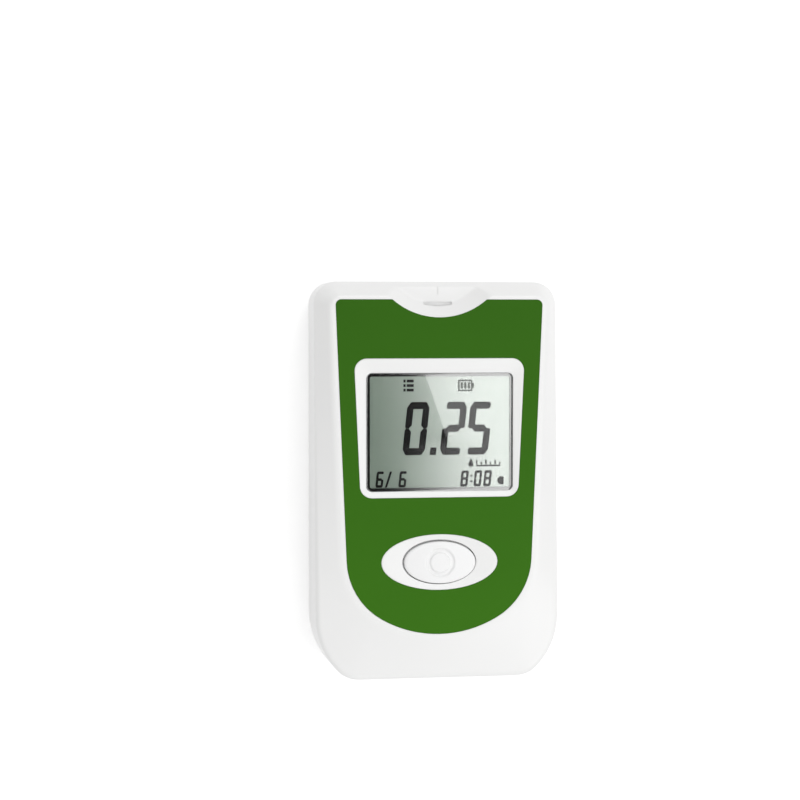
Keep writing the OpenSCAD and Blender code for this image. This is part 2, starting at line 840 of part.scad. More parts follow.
module board_parts() {
    color([0.6, 0.5, 0.38]) for (part = chip_parts) {
        at = [part[0][0], parts_y + part[0][1]];
        size = part[1];
        box(
            at[0] - size[0] / 2, at[0] + size[0] / 2, at[1] - size[1] / 2, at[1] + size[1] / 2,
            board_z0 - size[2], board_z0
        );
    }
}

module crystal() {
    color(metal) {
        translate([crystal_at[0], crystal_at[1], board_z0 - crystal_r])
            rotate([0, 90, 0]) cylinder(h = crystal_l, r = crystal_r);
        for (side = [-1, 1]) {
            y = crystal_at[1] + side * crystal_r / 2;
            box(
                crystal_at[0] - lead_out, crystal_at[0] + lead_w, y - lead_t, y + lead_t,
                board_z0 - crystal_r - lead_t, board_z0 - crystal_r + lead_t
            );
            box(
                crystal_at[0] - lead_out - lead_w, crystal_at[0] - lead_out, y - lead_t, y + lead_t,
                board_z0 - crystal_r - lead_t, board_z0
            );
        }
    }
}

module buzzer() {
    color(dark) translate([buzzer_at[0], buzzer_at[1], board_z0 - buzzer_h]) difference() {
        cylinder(h = buzzer_h, r = buzzer_r);
        translate([0, 0, -cut]) cylinder(h = buzzer_hole_depth + cut, r = buzzer_hole_r);
    }
}

module strip_connector() {
    groove_w = leaf_w + 2 * leaf_t;
    color([0.9, 0.9, 0.86]) difference() {
        box(-socket_w / 2, socket_w / 2, socket_y0, socket_y1, board_z1, socket_top);
        box(-strip_w / 2, strip_w / 2, socket_y0 + socket_back, socket_y1 + cut, scoop_z, scoop_z + strip_h);
        for (i = [-1:1]) {
            box(
                i * leaf_pitch - groove_w / 2, i * leaf_pitch + groove_w / 2,
                socket_y0 - cut, socket_y1 - socket_back / 2, board_z1 - cut, scoop_z + skin
            );
        }
    }
}

module strip_contacts() {
    color([0.85, 0.7, 0.35]) for (i = [-1:1]) {
        translate([i * leaf_pitch - leaf_w / 2, 0, 0])
            rotate([90, 0, 90]) linear_extrude(leaf_w) polygon([
                [socket_y0 - leaf_tail, board_z1],
                [socket_y0 + leaf_drop, board_z1],
                [socket_y0 + leaf_drop, scoop_z - leaf_drop],
                [socket_y1 - socket_back - leaf_bend, leaf_top - leaf_t],
                [socket_y1 - socket_back, scoop_z - leaf_drop],
                [socket_y1 - socket_back, scoop_z - leaf_drop + leaf_t],
                [socket_y1 - socket_back - leaf_bend, leaf_top],
                [socket_y0 + leaf_t, scoop_z - leaf_t],
                [socket_y0 + leaf_t, board_z1 + leaf_t],
                [socket_y0 - leaf_tail, board_z1 + leaf_t]
            ]);
    }
}

module main_button() {
    dome_z = key_top_z - button_dome;
    color(shell_white) translate([0, button_y, 0]) difference() {
        union() {
            prism(
                ellipse_pts(button_rx + button_flange, button_ry + button_flange), flange_z0, flange_z1
            );
            prism(ellipse_pts(button_rx, button_ry), flange_z0, dome_z);
            hull() for (i = [0:dome_steps]) {
                turn = 90 * i / dome_steps;
                inset = button_dome * (1 - cos(turn));
                plate(
                    ellipse_pts(button_rx - inset, button_ry - inset),
                    key_top_z - skin - button_dome * (1 - sin(turn))
                );
            }
            translate([0, 0, main_switch_z1 + pin_gap])
                cylinder(h = flange_z0 - main_switch_z1 - pin_gap + skin, r = pin_r);
        }
        ring_groove(ring_r1, key_top_z);
        ring_groove(ring_r2, key_top_z);
    }
}

// Switch body with its bore along Z
module switch_body(z) {
    difference() {
        box(-switch_w / 2, switch_w / 2, -switch_w / 2, switch_w / 2, z, z + switch_h);
        translate([0, 0, z - cut]) cylinder(h = switch_h + 2 * cut, r = pin_r + pin_play);
    }
}

module main_switch() {
    color(dark) translate([0, button_y, 0]) switch_body(board_z1);
}

module main_switch_plunger() {
    color([0.7, 0.2, 0.15]) translate([0, button_y, board_z1 + pin_gap])
        cylinder(h = switch_h, r = pin_r);
}

module set_button() {
    color([0.3, 0.3, 0.32]) translate([set_x, set_y, 0]) {
        translate([0, 0, set_sink]) cylinder(h = set_button_z1 - set_sink, r = set_r);
        translate([0, 0, set_stop_z]) cylinder(h = set_flange_t, r = set_r + set_flange_w);
    }
}

module set_switch() {
    color(dark) translate([set_x, set_y, 0]) switch_body(set_switch_z0);
}

module set_switch_plunger() {
    color([0.7, 0.2, 0.15]) translate([set_x, set_y, set_button_z1])
        cylinder(h = board_z0 - pin_gap - set_button_z1, r = pin_r);
}

// A cell whose positive end points along +Y, with its flat end at y 0
module cell() {
    rotate([-90, 0, 0]) {
        color([0.25, 0.35, 0.6]) cylinder(h = cell_l - nub_h, r = cell_r);
        color(metal) translate([0, 0, cell_l - nub_h - skin]) cylinder(h = nub_h + skin, r = nub_r);
    }
}

module battery_cell_1() {
    translate([-cell_x, bay_y1 - plate_t - cell_l, cell_z]) cell();
}

module battery_cell_2() {
    translate([cell_x, bay_y0 + plate_t + cell_l, cell_z]) rotate(180) cell();
}

// Centre line of a contact spring: straight ends and a cone of curls between them
rings_per_curl = 8;
tube_sides = 6;
spring_steps = spring_curls * rings_per_curl;
curl_line = [for (i = [0:spring_steps]) let (
    t = i / spring_steps,
    a = 360 * i / rings_per_curl,
    r = spring_r0 + (spring_r1 - spring_r0) * t
) [r * cos(a), r * sin(a), wire_d + (spring_l - 2 * wire_d) * t]];
spring_line = concat(
    [[spring_r0, 0, 0]], curl_line, [[curl_line[spring_steps][0], curl_line[spring_steps][1], spring_l]]
);
spring_gap = min([
    for (i = [1:spring_steps - 3], j = [i + 4:spring_steps + 1]) norm(spring_line[i] - spring_line[j])
]) - wire_d;
echo(least_gap_in_a_contact_spring = spring_gap);

function unit(v) = v / norm(v);

// The ring of points round one step of a line
function tube_ring(line, i) = let (
    last = len(line) - 1,
    before = i == 0 ? [0, 0, 1] : unit(line[i] - line[i - 1]),
    after = i == last ? [0, 0, 1] : unit(line[i + 1] - line[i]),
    t = unit(before + after),
    out = unit([line[i][0], line[i][1], 0]),
    u = unit(out - (out * t) * t),
    v = cross(t, u)
) [for (k = [0:tube_sides - 1]) let (a = 360 * k / tube_sides)
    line[i] + wire_d / 2 * (cos(a) * u + sin(a) * v)];

module contact_spring() {
    rings = len(spring_line);
    points = [for (i = [0:rings - 1]) each tube_ring(spring_line, i)];
    sides = [for (i = [0:rings - 2], k = [0:tube_sides - 1]) let (
        a = i * tube_sides + k,
        b = i * tube_sides + (k + 1) % tube_sides
    ) each [[a, b + tube_sides, b], [a, a + tube_sides, b + tube_sides]]];
    ends = [for (k = [1:tube_sides - 2]) each [
        [0, k, k + 1],
        [(rings - 1) * tube_sides, (rings - 1) * tube_sides + k + 1, (rings - 1) * tube_sides + k]
    ]];
    polyhedron(points = points, faces = concat(sides, ends));
}

module battery_spring_1() {
    color(metal) translate([-cell_x, bay_y0 + plate_t, cell_z]) rotate([-90, 0, 0]) contact_spring();
}

module battery_spring_2() {
    color(metal) translate([cell_x, bay_y1 - plate_t, cell_z]) rotate([90, 0, 0]) contact_spring();
}

// Contact plate at the board end of the bay, with its tab up to the board
module tab_contact(x) {
    z0 = cell_z - plate_h / 2;
    translate([x, bay_y1 - plate_t, 0]) {
        box(-plate_w / 2, plate_w / 2, 0, plate_t, z0, z0 + plate_h);
        box(-tab_w / 2, tab_w / 2, 0, plate_t, z0 + plate_h - fuse, board_z0);
    }
}

module battery_plus_contact() {
    color(metal) tab_contact(-cell_x);
}

module battery_minus_contact() {
    color(metal) tab_contact(cell_x);
}

module battery_link_contact() {
    half_w = cell_x + plate_w / 2;
    color(metal) box(
        -half_w, half_w, bay_y0, bay_y0 + plate_t, cell_z - plate_h / 2, cell_z + plate_h / 2
    );
}

module battery_door() {
    color(shell_white) difference() {
        union() {
            intersection() {
                difference() {
                    rear_form(0, 0, parting_z);
                    rear_form(door_t, door_t, parting_z + cut);
                }
                box(-door_x, door_x, -end_y - cut, door_y1, -cut, door_end_h);
            }
            both_sides() {
                box(
                    tongue_x0, door_x - door_play, -end_y + tongue_end_gap, door_y1 - tongue_lead,
                    door_t - fuse, tongue_z1
                );
                box(
                    tongue_x0, tongue_x1, -end_y + tongue_end_gap, door_y1 - tongue_lead,
                    tongue_z0, tongue_z1
                );
            }
            box(
                -top_tongue_w / 2, top_tongue_w / 2, door_y1 - 2 * top_tongue_l, door_y1 + top_tongue_l,
                tongue_z0, tongue_z1
            );
            box(
                -top_tongue_w / 2, top_tongue_w / 2, door_y1 - 2 * top_tongue_l, door_y1 - tongue_play,
                door_t - fuse, tongue_z1
            );
        }
        for (i = [0:grip_n - 1]) {
            y = door_y1 - grip_start - i * grip_pitch;
            box(-grip_w / 2, grip_w / 2, y - grip_groove, y, -cut, grip_depth);
        }
    }
}

module case_screws() {
    color(metal) for (p = case_screw_at) {
        translate([p[0], p[1], head_seat]) screw(screw_r, screw_l, head_r, head_h);
    }
}

module board_screws() {
    color(metal) for (p = board_screw_at) {
        translate([p[0], p[1], board_z0])
            screw(small_screw_r, inner_z - 2 * small_pilot_end - board_z0, small_head_r, small_head_h);
    }
}

module rear_label() {
    color([0.88, 0.88, 0.86]) translate([0, label_y, 0])
        prism(round_rect_pts(label_w, label_l, label_r), label_sink - label_t, label_sink);
}

front_cover();
rear_cover();
face_film();
window_lens();
window_seal();
lcd_cell();
lcd_holder();
lcd_connectors();
circuit_board();
processor();
board_parts();
crystal();
buzzer();
strip_connector();
strip_contacts();
main_button();
main_switch();
main_switch_plunger();
set_button();
set_switch();
set_switch_plunger();
battery_cell_1();
battery_cell_2();
battery_spring_1();
battery_spring_2();
battery_plus_contact();
battery_minus_contact();
battery_link_contact();
battery_door();
case_screws();
board_screws();
rear_label();
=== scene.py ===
"""Dresses a handheld uric acid meter: casing, face film, window, display, keys and battery side.

Lengths in the classes are millimetres in the row frame: +Y points to the strip slot, +Z out of
the face, and Z is 0 on the surface that the meter lies on. Meshes are made in metres.
"""

import json
import logging
import math
from dataclasses import dataclass, field, replace
from enum import Enum

import bmesh
import bpy
import numpy as np
from mathutils import Matrix, Vector
from mathutils.geometry import delaunay_2d_cdt

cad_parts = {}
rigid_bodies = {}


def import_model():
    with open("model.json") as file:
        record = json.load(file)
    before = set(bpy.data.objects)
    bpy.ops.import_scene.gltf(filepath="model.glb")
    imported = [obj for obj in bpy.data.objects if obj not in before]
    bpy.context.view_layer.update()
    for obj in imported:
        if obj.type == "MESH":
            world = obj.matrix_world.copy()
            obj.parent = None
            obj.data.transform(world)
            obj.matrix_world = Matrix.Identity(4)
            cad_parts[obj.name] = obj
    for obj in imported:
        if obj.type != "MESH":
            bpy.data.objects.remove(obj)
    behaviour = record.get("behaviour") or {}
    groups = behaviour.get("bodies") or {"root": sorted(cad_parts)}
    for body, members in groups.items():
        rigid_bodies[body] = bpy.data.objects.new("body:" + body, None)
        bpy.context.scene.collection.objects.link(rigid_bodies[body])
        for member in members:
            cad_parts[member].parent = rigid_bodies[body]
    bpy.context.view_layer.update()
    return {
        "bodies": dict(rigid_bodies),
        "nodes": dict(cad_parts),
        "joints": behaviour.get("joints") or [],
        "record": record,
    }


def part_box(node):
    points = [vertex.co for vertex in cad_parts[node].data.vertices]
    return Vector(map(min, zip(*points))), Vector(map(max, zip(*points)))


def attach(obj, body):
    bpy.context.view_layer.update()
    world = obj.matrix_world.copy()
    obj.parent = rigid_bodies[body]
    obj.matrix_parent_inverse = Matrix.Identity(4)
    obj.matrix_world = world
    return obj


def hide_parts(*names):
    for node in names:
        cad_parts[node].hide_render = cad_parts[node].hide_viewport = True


LOG = logging.getLogger("meter")
MM = 0.001
WHITE = (1.0, 1.0, 1.0, 1.0)
WELD = 1e-6  # points of a CAD mesh that are nearer than this many metres are one point
TINY = 1e-7  # two cuts or outline points that are nearer than this are the same
FLAT_TURN = 0.4  # faces of a CAD mesh that turn less than this many degrees are one face


class Side(Enum):
    """Which way a flat region of a mesh faces."""

    UP = 1
    DOWN = -1


class Joint(Enum):
    """Names of the bodies that the pieces ride on."""

    HOUSING = "housing"
    MAIN_KEY = "main_key"
    SET_KEY = "set_key"
    DOOR = "door"


# Shader nodes and the node groups that several finishes share


class Wiring:
    """Adds nodes to one node tree and joins them."""

    def __init__(self, tree: bpy.types.NodeTree) -> None:
        """Starts on a tree."""
        self.tree, self.nodes, self.links = tree, tree.nodes, tree.links

    def feed(self, node: bpy.types.Node, values: dict) -> bpy.types.Node:
        """Sets a node's inputs.

        Args:
            node: The node.
            values: A number, a colour or another node's output for each input's name or place.

        Returns:
            The same node.
        """
        for key, value in values.items():
            if isinstance(value, bpy.types.NodeSocket):
                self.links.new(value, node.inputs[key])
            else:
                node.inputs[key].default_value = value
        return node

    def add(self, kind: str, values: dict | None = None, **settings: object) -> bpy.types.Node:
        """Adds a node.

        Args:
            kind: Its type, without the leading ShaderNode.
            values: What its inputs get.
            settings: Its properties, such as an operation.

        Returns:
            The node.
        """
        node = self.nodes.new(f"ShaderNode{kind}")
        for name, value in settings.items():
            setattr(node, name, value)
        return self.feed(node, values or {})

    def group(self, shared: bpy.types.NodeTree, **values: object) -> bpy.types.NodeOutputs:
        """Adds a shared node group and gives its outputs."""
        return self.add("Group", values, node_tree=shared).outputs

    def math(self, operation: str, *values: object) -> bpy.types.NodeSocket:
        """Adds arithmetic on numbers or outputs and gives its result."""
        return self.add("Math", dict(enumerate(values)), operation=operation).outputs[0]

    def place(self) -> bpy.types.NodeSocket:
        """Adds the place on the object, in metres."""
        return self.add("TexCoord").outputs["Object"]

    def axes(self) -> bpy.types.NodeOutputs:
        """Adds that place as its three numbers X, Y and Z."""
        return self.add("SeparateXYZ", {"Vector": self.place()}).outputs

    def noise(self, place: bpy.types.NodeSocket, **values: object) -> bpy.types.NodeSocket:
        """Adds a noise from 0 to 1."""
        return self.add("TexNoise", {"Vector": place, **values}).outputs["Fac"]

    def ramp(
        self, value: bpy.types.NodeSocket, onto: tuple, span: tuple = (0.0, 1.0), bend: str = "LINEAR"
    ) -> bpy.types.NodeSocket:
        """Maps a value from one span onto another.

        Args:
            value: The value.
            onto: What comes out where the span starts and ends.
            span: Where the span starts and ends.
            bend: LINEAR, or SMOOTHSTEP for soft ends.

        Returns:
            What comes out.
        """
        ends = {"From Min": span[0], "From Max": span[1], "To Min": onto[0], "To Max": onto[1]}
        return self.add("MapRange", {"Value": value, **ends}, interpolation_type=bend).outputs["Result"]

    def mix(self, share: object, low: object, high: object) -> bpy.types.NodeSocket:
        """Adds a blend of two numbers."""
        return self.add("Mix", {"Factor": share, "A": low, "B": high}, data_type="FLOAT").outputs["Result"]

    def blend(self, share: object, low: tuple, high: tuple) -> bpy.types.NodeSocket:
        """Adds a blend of two colours, whose sockets on the node have the places 6 and 7."""
        colours = {"Factor": share, 6: (*low, 1.0), 7: (*high, 1.0)}
        return self.add("Mix", colours, data_type="RGBA").outputs[2]

    def tinted(self, colour: tuple, tone: bpy.types.NodeSocket) -> bpy.types.NodeSocket:
        """Adds a colour that a tone makes lighter or darker."""
        return self.add("VectorMath", {0: colour, "Scale": tone}, operation="SCALE").outputs["Vector"]

    def bump(self, height: bpy.types.NodeSocket, depth: float, **under: object) -> bpy.types.NodeSocket:
        """Adds a bump of a depth in metres, over the Normal of another if one is given."""
        return self.add("Bump", {"Height": height, "Distance": depth, **under}).outputs["Normal"]


def new_group(
    name: str, inputs: dict[str, float], outputs: tuple[str, ...]
) -> tuple[Wiring, bpy.types.NodeOutputs, bpy.types.Node]:
    """Starts a shader node group that takes and puts out plain numbers.

    Args:
        name: Name of the group.
        inputs: Name and default of each number that it takes.
        outputs: Name of each number that it puts out.

    Returns:
        The group's wiring, what it is given and its output node.
    """
    group = bpy.data.node_groups.new(name, "ShaderNodeTree")
    for label, default in inputs.items():
        socket = group.interface.new_socket(label, in_out="INPUT", socket_type="NodeSocketFloat")
        socket.default_value = default
    for label in outputs:
        group.interface.new_socket(label, in_out="OUTPUT", socket_type="NodeSocketFloat")
    return Wiring(group), group.nodes.new("NodeGroupInput").outputs, group.nodes.new("NodeGroupOutput")


def moulded_grain() -> bpy.types.NodeTree:
    """Makes the fine spark grain and slow waviness of moulded plastic.

    Returns:
        A group with Height for a bump and Mask for roughness, both from 0 to 1.
    """
    wiring, given, out = new_group("moulded_grain", {"Scale": 2200.0, "Waviness": 0.3}, ("Height", "Mask"))
    place = wiring.place()
    fine = wiring.noise(place, Scale=given["Scale"], Detail=3.0)
    slow = wiring.noise(place, Scale=60.0, Detail=1.0)
    wiring.feed(out, {"Height": wiring.mix(given["Waviness"], fine, slow), "Mask": fine})
    return wiring.tree


def tone_drift() -> bpy.types.NodeTree:
    """Makes a slow change of tone over a surface, with fine specks.

    Returns:
        A group whose Factor is near 1 and varies by Amount.
    """
    wiring, given, out = new_group("tone_drift", {"Scale": 40.0, "Amount": 0.02}, ("Factor",))
    cloud = wiring.noise(wiring.place(), Scale=given["Scale"], Detail=5.0, Roughness=0.65)
    centred = wiring.math("SUBTRACT", cloud, 0.5)
    wiring.feed(out, {"Factor": wiring.math("MULTIPLY_ADD", centred, given["Amount"], 1.0)})
    return wiring.tree


def fine_scuffs() -> bpy.types.NodeTree:
    """Makes the faint rubbed streaks that handling leaves on plastic and metal.

    Returns:
        A group with Mask, 0 where the surface is fresh and 1 along a streak.
    """
    wiring, given, out = new_group("fine_scuffs", {"Scale": 260.0, "Spread": 0.06}, ("Mask",))
    turn = {"Vector": wiring.place(), "Rotation": (0.0, 0.0, 0.6), "Scale": (1.0, 0.06, 1.0)}
    along = wiring.add("Mapping", turn).outputs["Vector"]
    streak = wiring.noise(along, Scale=given["Scale"], Detail=4.0, Distortion=0.4)
    top = wiring.math("ADD", 0.62, given["Spread"])
    wiring.feed(out, {"Mask": wiring.ramp(streak, (0.0, 1.0), (0.6, top), "SMOOTHSTEP")})
    return wiring.tree


def rolled_lines() -> bpy.types.NodeTree:
    """Makes the long fine lines of rolled or drawn metal.

    Returns:
        A group with Height, from 0 to 1.
    """
    wiring, given, out = new_group("rolled_lines", {"Scale": 900.0}, ("Height",))
    along = wiring.add("Mapping", {"Vector": wiring.place(), "Scale": (0.04, 1.0, 1.0)}).outputs["Vector"]
    wiring.feed(out, {"Height": wiring.noise(along, Scale=given["Scale"], Detail=6.0)})
    return wiring.tree


def copper_tracks() -> bpy.types.NodeTree:
    """Makes the square network of copper tracks under a board's green mask.

    Returns:
        A group with Mask, 1 on a track.
    """
    wiring, given, out = new_group("copper_tracks", {"Scale": 320.0}, ("Mask",))
    black, white = (0.0, 0.0, 0.0, 1.0), (1.0, 1.0, 1.0, 1.0)
    lines = {"Color1": black, "Color2": black, "Mortar": white, "Mortar Size": 0.05, "Mortar Smooth": 0.2}
    brick = wiring.add("TexBrick", {"Vector": wiring.place(), "Scale": given["Scale"], **lines})
    wiring.feed(out, {"Mask": brick.outputs["Color"]})
    return wiring.tree


@dataclass
class Groups:
    """The node groups, each built once."""

    grain: bpy.types.NodeTree = field(default_factory=moulded_grain)
    drift: bpy.types.NodeTree = field(default_factory=tone_drift)
    scuffs: bpy.types.NodeTree = field(default_factory=fine_scuffs)
    lines: bpy.types.NodeTree = field(default_factory=rolled_lines)
    tracks: bpy.types.NodeTree = field(default_factory=copper_tracks)


# Finishes


def new_material(name: str) -> tuple[bpy.types.Material, Wiring]:
    """Starts a material.

    Args:
        name: Its name.

    Returns:
        The material and the wiring of its nodes.
    """
    material = bpy.data.materials.new(name)
    material.use_nodes = True
    return material, Wiring(material.node_tree)


@dataclass(frozen=True)
class Coating:
    """What every finish has: a name, and a Principled shader whose inputs it works out.

    Attributes:
        name: Name of the material.
    """

    name: str

    def build(self, groups: Groups) -> bpy.types.Material:
        """Makes the material.

        Args:
            groups: The shared node groups.

        Returns:
            The material.
        """
        material, wiring = new_material(self.name)
        wiring.feed(wiring.nodes["Principled BSDF"], self.values(wiring, groups))
        return material

    def values(self, wiring: Wiring, groups: Groups) -> dict:
        """Works out what the shader's inputs get.

        Args:
            wiring: The material's nodes.
            groups: The shared node groups.

        Returns:
            A number, a colour or an output for each input that isn't left as it is.
        """
        raise NotImplementedError


@dataclass(frozen=True)
class Finish(Coating):
    """A surface finish.

    Attributes:
        colour: Linear base colour.
        rough: Roughness of the surface.
        metal: 1 for metal and 0 for anything else.
        grain_scale: Scale of the surface grain.
        grain_depth: Depth of the grain in metres.
        drift: How much the tone varies over the surface.
        scuff: How much rougher a rubbed streak is than fresh surface.
        rolled: Depth of rolling lines in metres, for metal.
        ior: Index of refraction.
        specular: Strength of the mirror part, with 0.5 as plain plastic.
        painted_shade: By what share the colour is darkened towards the strip end, as painted shade for the light
            that falls off there.
        painted_shade_span: Where that painted shade starts and ends, in millimetres.
        rough_play: By what share the grain makes the roughness lower and higher.
    """

    colour: tuple[float, float, float]
    rough: float = 0.4
    metal: float = 0.0
    grain_scale: float = 2200.0
    grain_depth: float = 0.000002
    drift: float = 0.02
    scuff: float = 0.06
    rolled: float = 0.0
    ior: float = 1.5
    specular: float = 0.5
    painted_shade: float = 0.0
    painted_shade_span: tuple[float, float] = (-35.0, 38.0)
    rough_play: float = 0.08

    def values(self, wiring: Wiring, groups: Groups) -> dict:
        """Works out what the shader's inputs get.

        Args:
            wiring: The material's nodes.
            groups: The shared node groups.

        Returns:
            A number, a colour or an output for each input.
        """
        grain = wiring.group(groups.grain, Scale=self.grain_scale)
        normal = wiring.bump(grain["Height"], self.grain_depth)
        if self.rolled:
            normal = wiring.bump(wiring.group(groups.lines)["Height"], self.rolled, Normal=normal)
        limits = (self.rough * (1 - self.rough_play), self.rough * (1 + self.rough_play))
        fresh = wiring.ramp(grain["Mask"], limits)
        tone = wiring.group(groups.drift, Amount=self.drift)["Factor"]
        # Darkens the colour towards the strip end: painted shade for the light that falls off there.
        if self.painted_shade:
            span = (self.painted_shade_span[0] * MM, self.painted_shade_span[1] * MM)
            tone = wiring.math("MULTIPLY", tone, wiring.ramp(wiring.axes()["Y"], (1.0, 1.0 - self.painted_shade), span))
        return {
            "Base Color": wiring.tinted(self.colour, tone),
            "Metallic": self.metal,
            "Roughness": wiring.math("MULTIPLY_ADD", wiring.group(groups.scuffs)["Mask"], self.scuff, fresh),
            "IOR": self.ior,
            "Specular IOR Level": self.specular,
            "Normal": normal,
        }


@dataclass(frozen=True)
class ClearFinish(Coating):
    """Clear plastic with an anti-glare coat, which lets lamp light through to what lies under it.

    Attributes:
        tint: Colour of the light that passes.
        shine: Share of plain plastic's straight reflection that the coat leaves.
        ior: Index of refraction.
        smooth: Roughness of the clean surface.
        smudge: Roughness where a finger has been.
    """

    tint: tuple[float, float, float] = (0.97, 0.98, 0.97)
    shine: float = 0.52
    ior: float = 1.58
    smooth: float = 0.004
    smudge: float = 0.02

    def build(self, groups: Groups) -> bpy.types.Material:
        """Makes the material, with a see-through shadow.

        Args:
            groups: The shared node groups.

        Returns:
            The material.
        """
        material = super().build(groups)
        wiring = Wiring(material.node_tree)
        clear = wiring.add("BsdfTransparent", {"Color": (*self.tint, 1.0)}).outputs["BSDF"]
        shadow = wiring.add("LightPath").outputs["Is Shadow Ray"]
        shader = wiring.nodes["Principled BSDF"].outputs["BSDF"]
        both = wiring.add("MixShader", {"Fac": shadow, 1: shader, 2: clear}).outputs["Shader"]
        wiring.feed(wiring.nodes["Material Output"], {"Surface": both})
        return material

    def values(self, wiring: Wiring, groups: Groups) -> dict:
        """Works out what the shader's inputs get.

        Args:
            wiring: The material's nodes.
            groups: The shared node groups.

        Returns:
            A number, a colour or an output for each input.
        """
        return {
            "Base Color": (*self.tint, 1.0),
            "Transmission Weight": 1.0,
            "Roughness": wiring.ramp(wiring.group(groups.scuffs)["Mask"], (self.smooth, self.smudge)),
            "IOR": self.ior,
            "Specular Tint": (self.shine, self.shine, self.shine, 1.0),
        }


@dataclass(frozen=True)
class DisplayFinish(Coating):
    """The grey-green reflector behind a segment display, under its glossy top film.

    Attributes:
        colour: Linear colour of the ground.
        gleam_ior: Index of the reflector, which sets how much light it throws back as a gleam.
        rough: Roughness of that gleam.
        rough_play: By what share the grain makes it lower and higher.
        film_ior: Index of the top film, which mirrors sharply.
        film_rough: Roughness of the top film.
        speck_scale: Scale of the ground's fine specks.
        speck: How much they vary its tone.
    """

    colour: tuple[float, float, float]
    gleam_ior: float = 3.2
    rough: float = 0.15
    rough_play: float = 0.06
    film_ior: float = 1.6
    film_rough: float = 0.03
    speck_scale: float = 3000.0
    speck: float = 0.04

    def values(self, wiring: Wiring, groups: Groups) -> dict:
        """Works out what the shader's inputs get.

        Args:
            wiring: The material's nodes.
            groups: The shared node groups.

        Returns:
            A number, a colour or an output for each input.
        """
        limits = (self.rough * (1 - self.rough_play), self.rough * (1 + self.rough_play))
        tone = wiring.group(groups.drift, Amount=self.speck, Scale=self.speck_scale)["Factor"]
        return {
            "Base Color": wiring.tinted(self.colour, tone),
            "Roughness": wiring.ramp(wiring.group(groups.grain)["Mask"], limits),
            "IOR": self.gleam_ior,
            "Coat Weight": 1.0,
            "Coat Roughness": self.film_rough,
            "Coat IOR": self.film_ior,
        }


@dataclass(frozen=True)
class BoardFinish(Coating):
    """Green solder mask with copper tracks showing through.

    Attributes:
        mask: Colour of the mask over bare board.
        track: Colour of the mask over copper.
        track_rise: How far a track stands up, in metres.
        rough: Least and greatest roughness.
        coat: Weight and roughness of the lacquer.
    """

    mask: tuple[float, float, float] = (0.012, 0.085, 0.03)
    track: tuple[float, float, float] = (0.04, 0.2, 0.07)
    track_rise: float = 0.00002
    rough: tuple[float, float] = (0.3, 0.4)
    coat: tuple[float, float] = (0.6, 0.15)

    def values(self, wiring: Wiring, groups: Groups) -> dict:
        """Works out what the shader's inputs get.

        Args:
            wiring: The material's nodes.
            groups: The shared node groups.

        Returns:
            A number, a colour or an output for each input.
        """
        on_track = wiring.group(groups.tracks)["Mask"]
        return {
            "Base Color": wiring.blend(on_track, self.mask, self.track),
            "Roughness": wiring.ramp(wiring.group(groups.grain)["Mask"], self.rough),
            "Coat Weight": self.coat[0],
            "Coat Roughness": self.coat[1],
            "Normal": wiring.bump(on_track, self.track_rise),
        }


@dataclass(frozen=True)
class SleeveFinish(Coating):
    """The shrunk sleeve of a battery cell: a dark body and a bright band at its plus end.

    Attributes:
        start: Where the band starts along the casing, in metres.
        end: Where it reaches full colour, beyond start on the plus side.
        body: Colour of the body.
        band: Colour of the band.
        grain_scale: Scale of the sleeve's fine ripple.
        grain_depth: Depth of the ripple in metres.
        rough: Roughness of fresh and of rubbed sleeve.
        coat: Weight of its clear lacquer.
    """

    start: float
    end: float
    body: tuple[float, float, float] = (0.012, 0.03, 0.12)
    band: tuple[float, float, float] = (0.62, 0.62, 0.63)
    grain_scale: float = 700.0
    grain_depth: float = 0.00001
    rough: tuple[float, float] = (0.25, 0.45)
    coat: float = 0.5

    def values(self, wiring: Wiring, groups: Groups) -> dict:
        """Works out what the shader's inputs get.

        Args:
            wiring: The material's nodes.
            groups: The shared node groups.

        Returns:
            A number, a colour or an output for each input.
        """
        on_band = wiring.ramp(wiring.axes()["Y"], (0.0, 1.0), (self.start, self.end))
        grain = wiring.group(groups.grain, Scale=self.grain_scale)
        return {
            "Base Color": wiring.blend(on_band, self.body, self.band),
            "Roughness": wiring.ramp(wiring.group(groups.scuffs)["Mask"], self.rough),
            "Coat Weight": self.coat,
            "Normal": wiring.bump(grain["Height"], self.grain_depth),
        }


# Outlines and meshes


def arc(centre: tuple[float, float], radius: float, start: float, end: float, steps: int = 16) -> list:
    """Points along an arc, angles in degrees."""
    turns = np.radians(np.linspace(start, end, steps + 1))
    return [(centre[0] + radius * math.cos(a), centre[1] + radius * math.sin(a)) for a in turns]


def mirrored(half: list) -> np.ndarray:
    """Joins the right half of an outline, from bottom to top, to its mirror image."""
    left = [(-x, y) for x, y in reversed(half) if x > 1e-6]
    return np.array(half + left)


def ellipse(rx: float, ry: float, centre_y: float, steps: int = 128) -> np.ndarray:
    """Points round an ellipse whose middle is on the Y axis."""
    turns = np.linspace(0, 2 * math.pi, steps, endpoint=False)
    return np.stack([rx * np.cos(turns), centre_y + ry * np.sin(turns)], axis=1)


def rounded_rect(width: float, length: float, radius: float, centre: tuple[float, float]) -> np.ndarray:
    """Points round a rectangle with round corners."""
    x, y = width / 2 - radius, length / 2 - radius
    return mirrored(arc((x, -y), radius, -90, 0) + arc((x, y), radius, 0, 90)) + centre


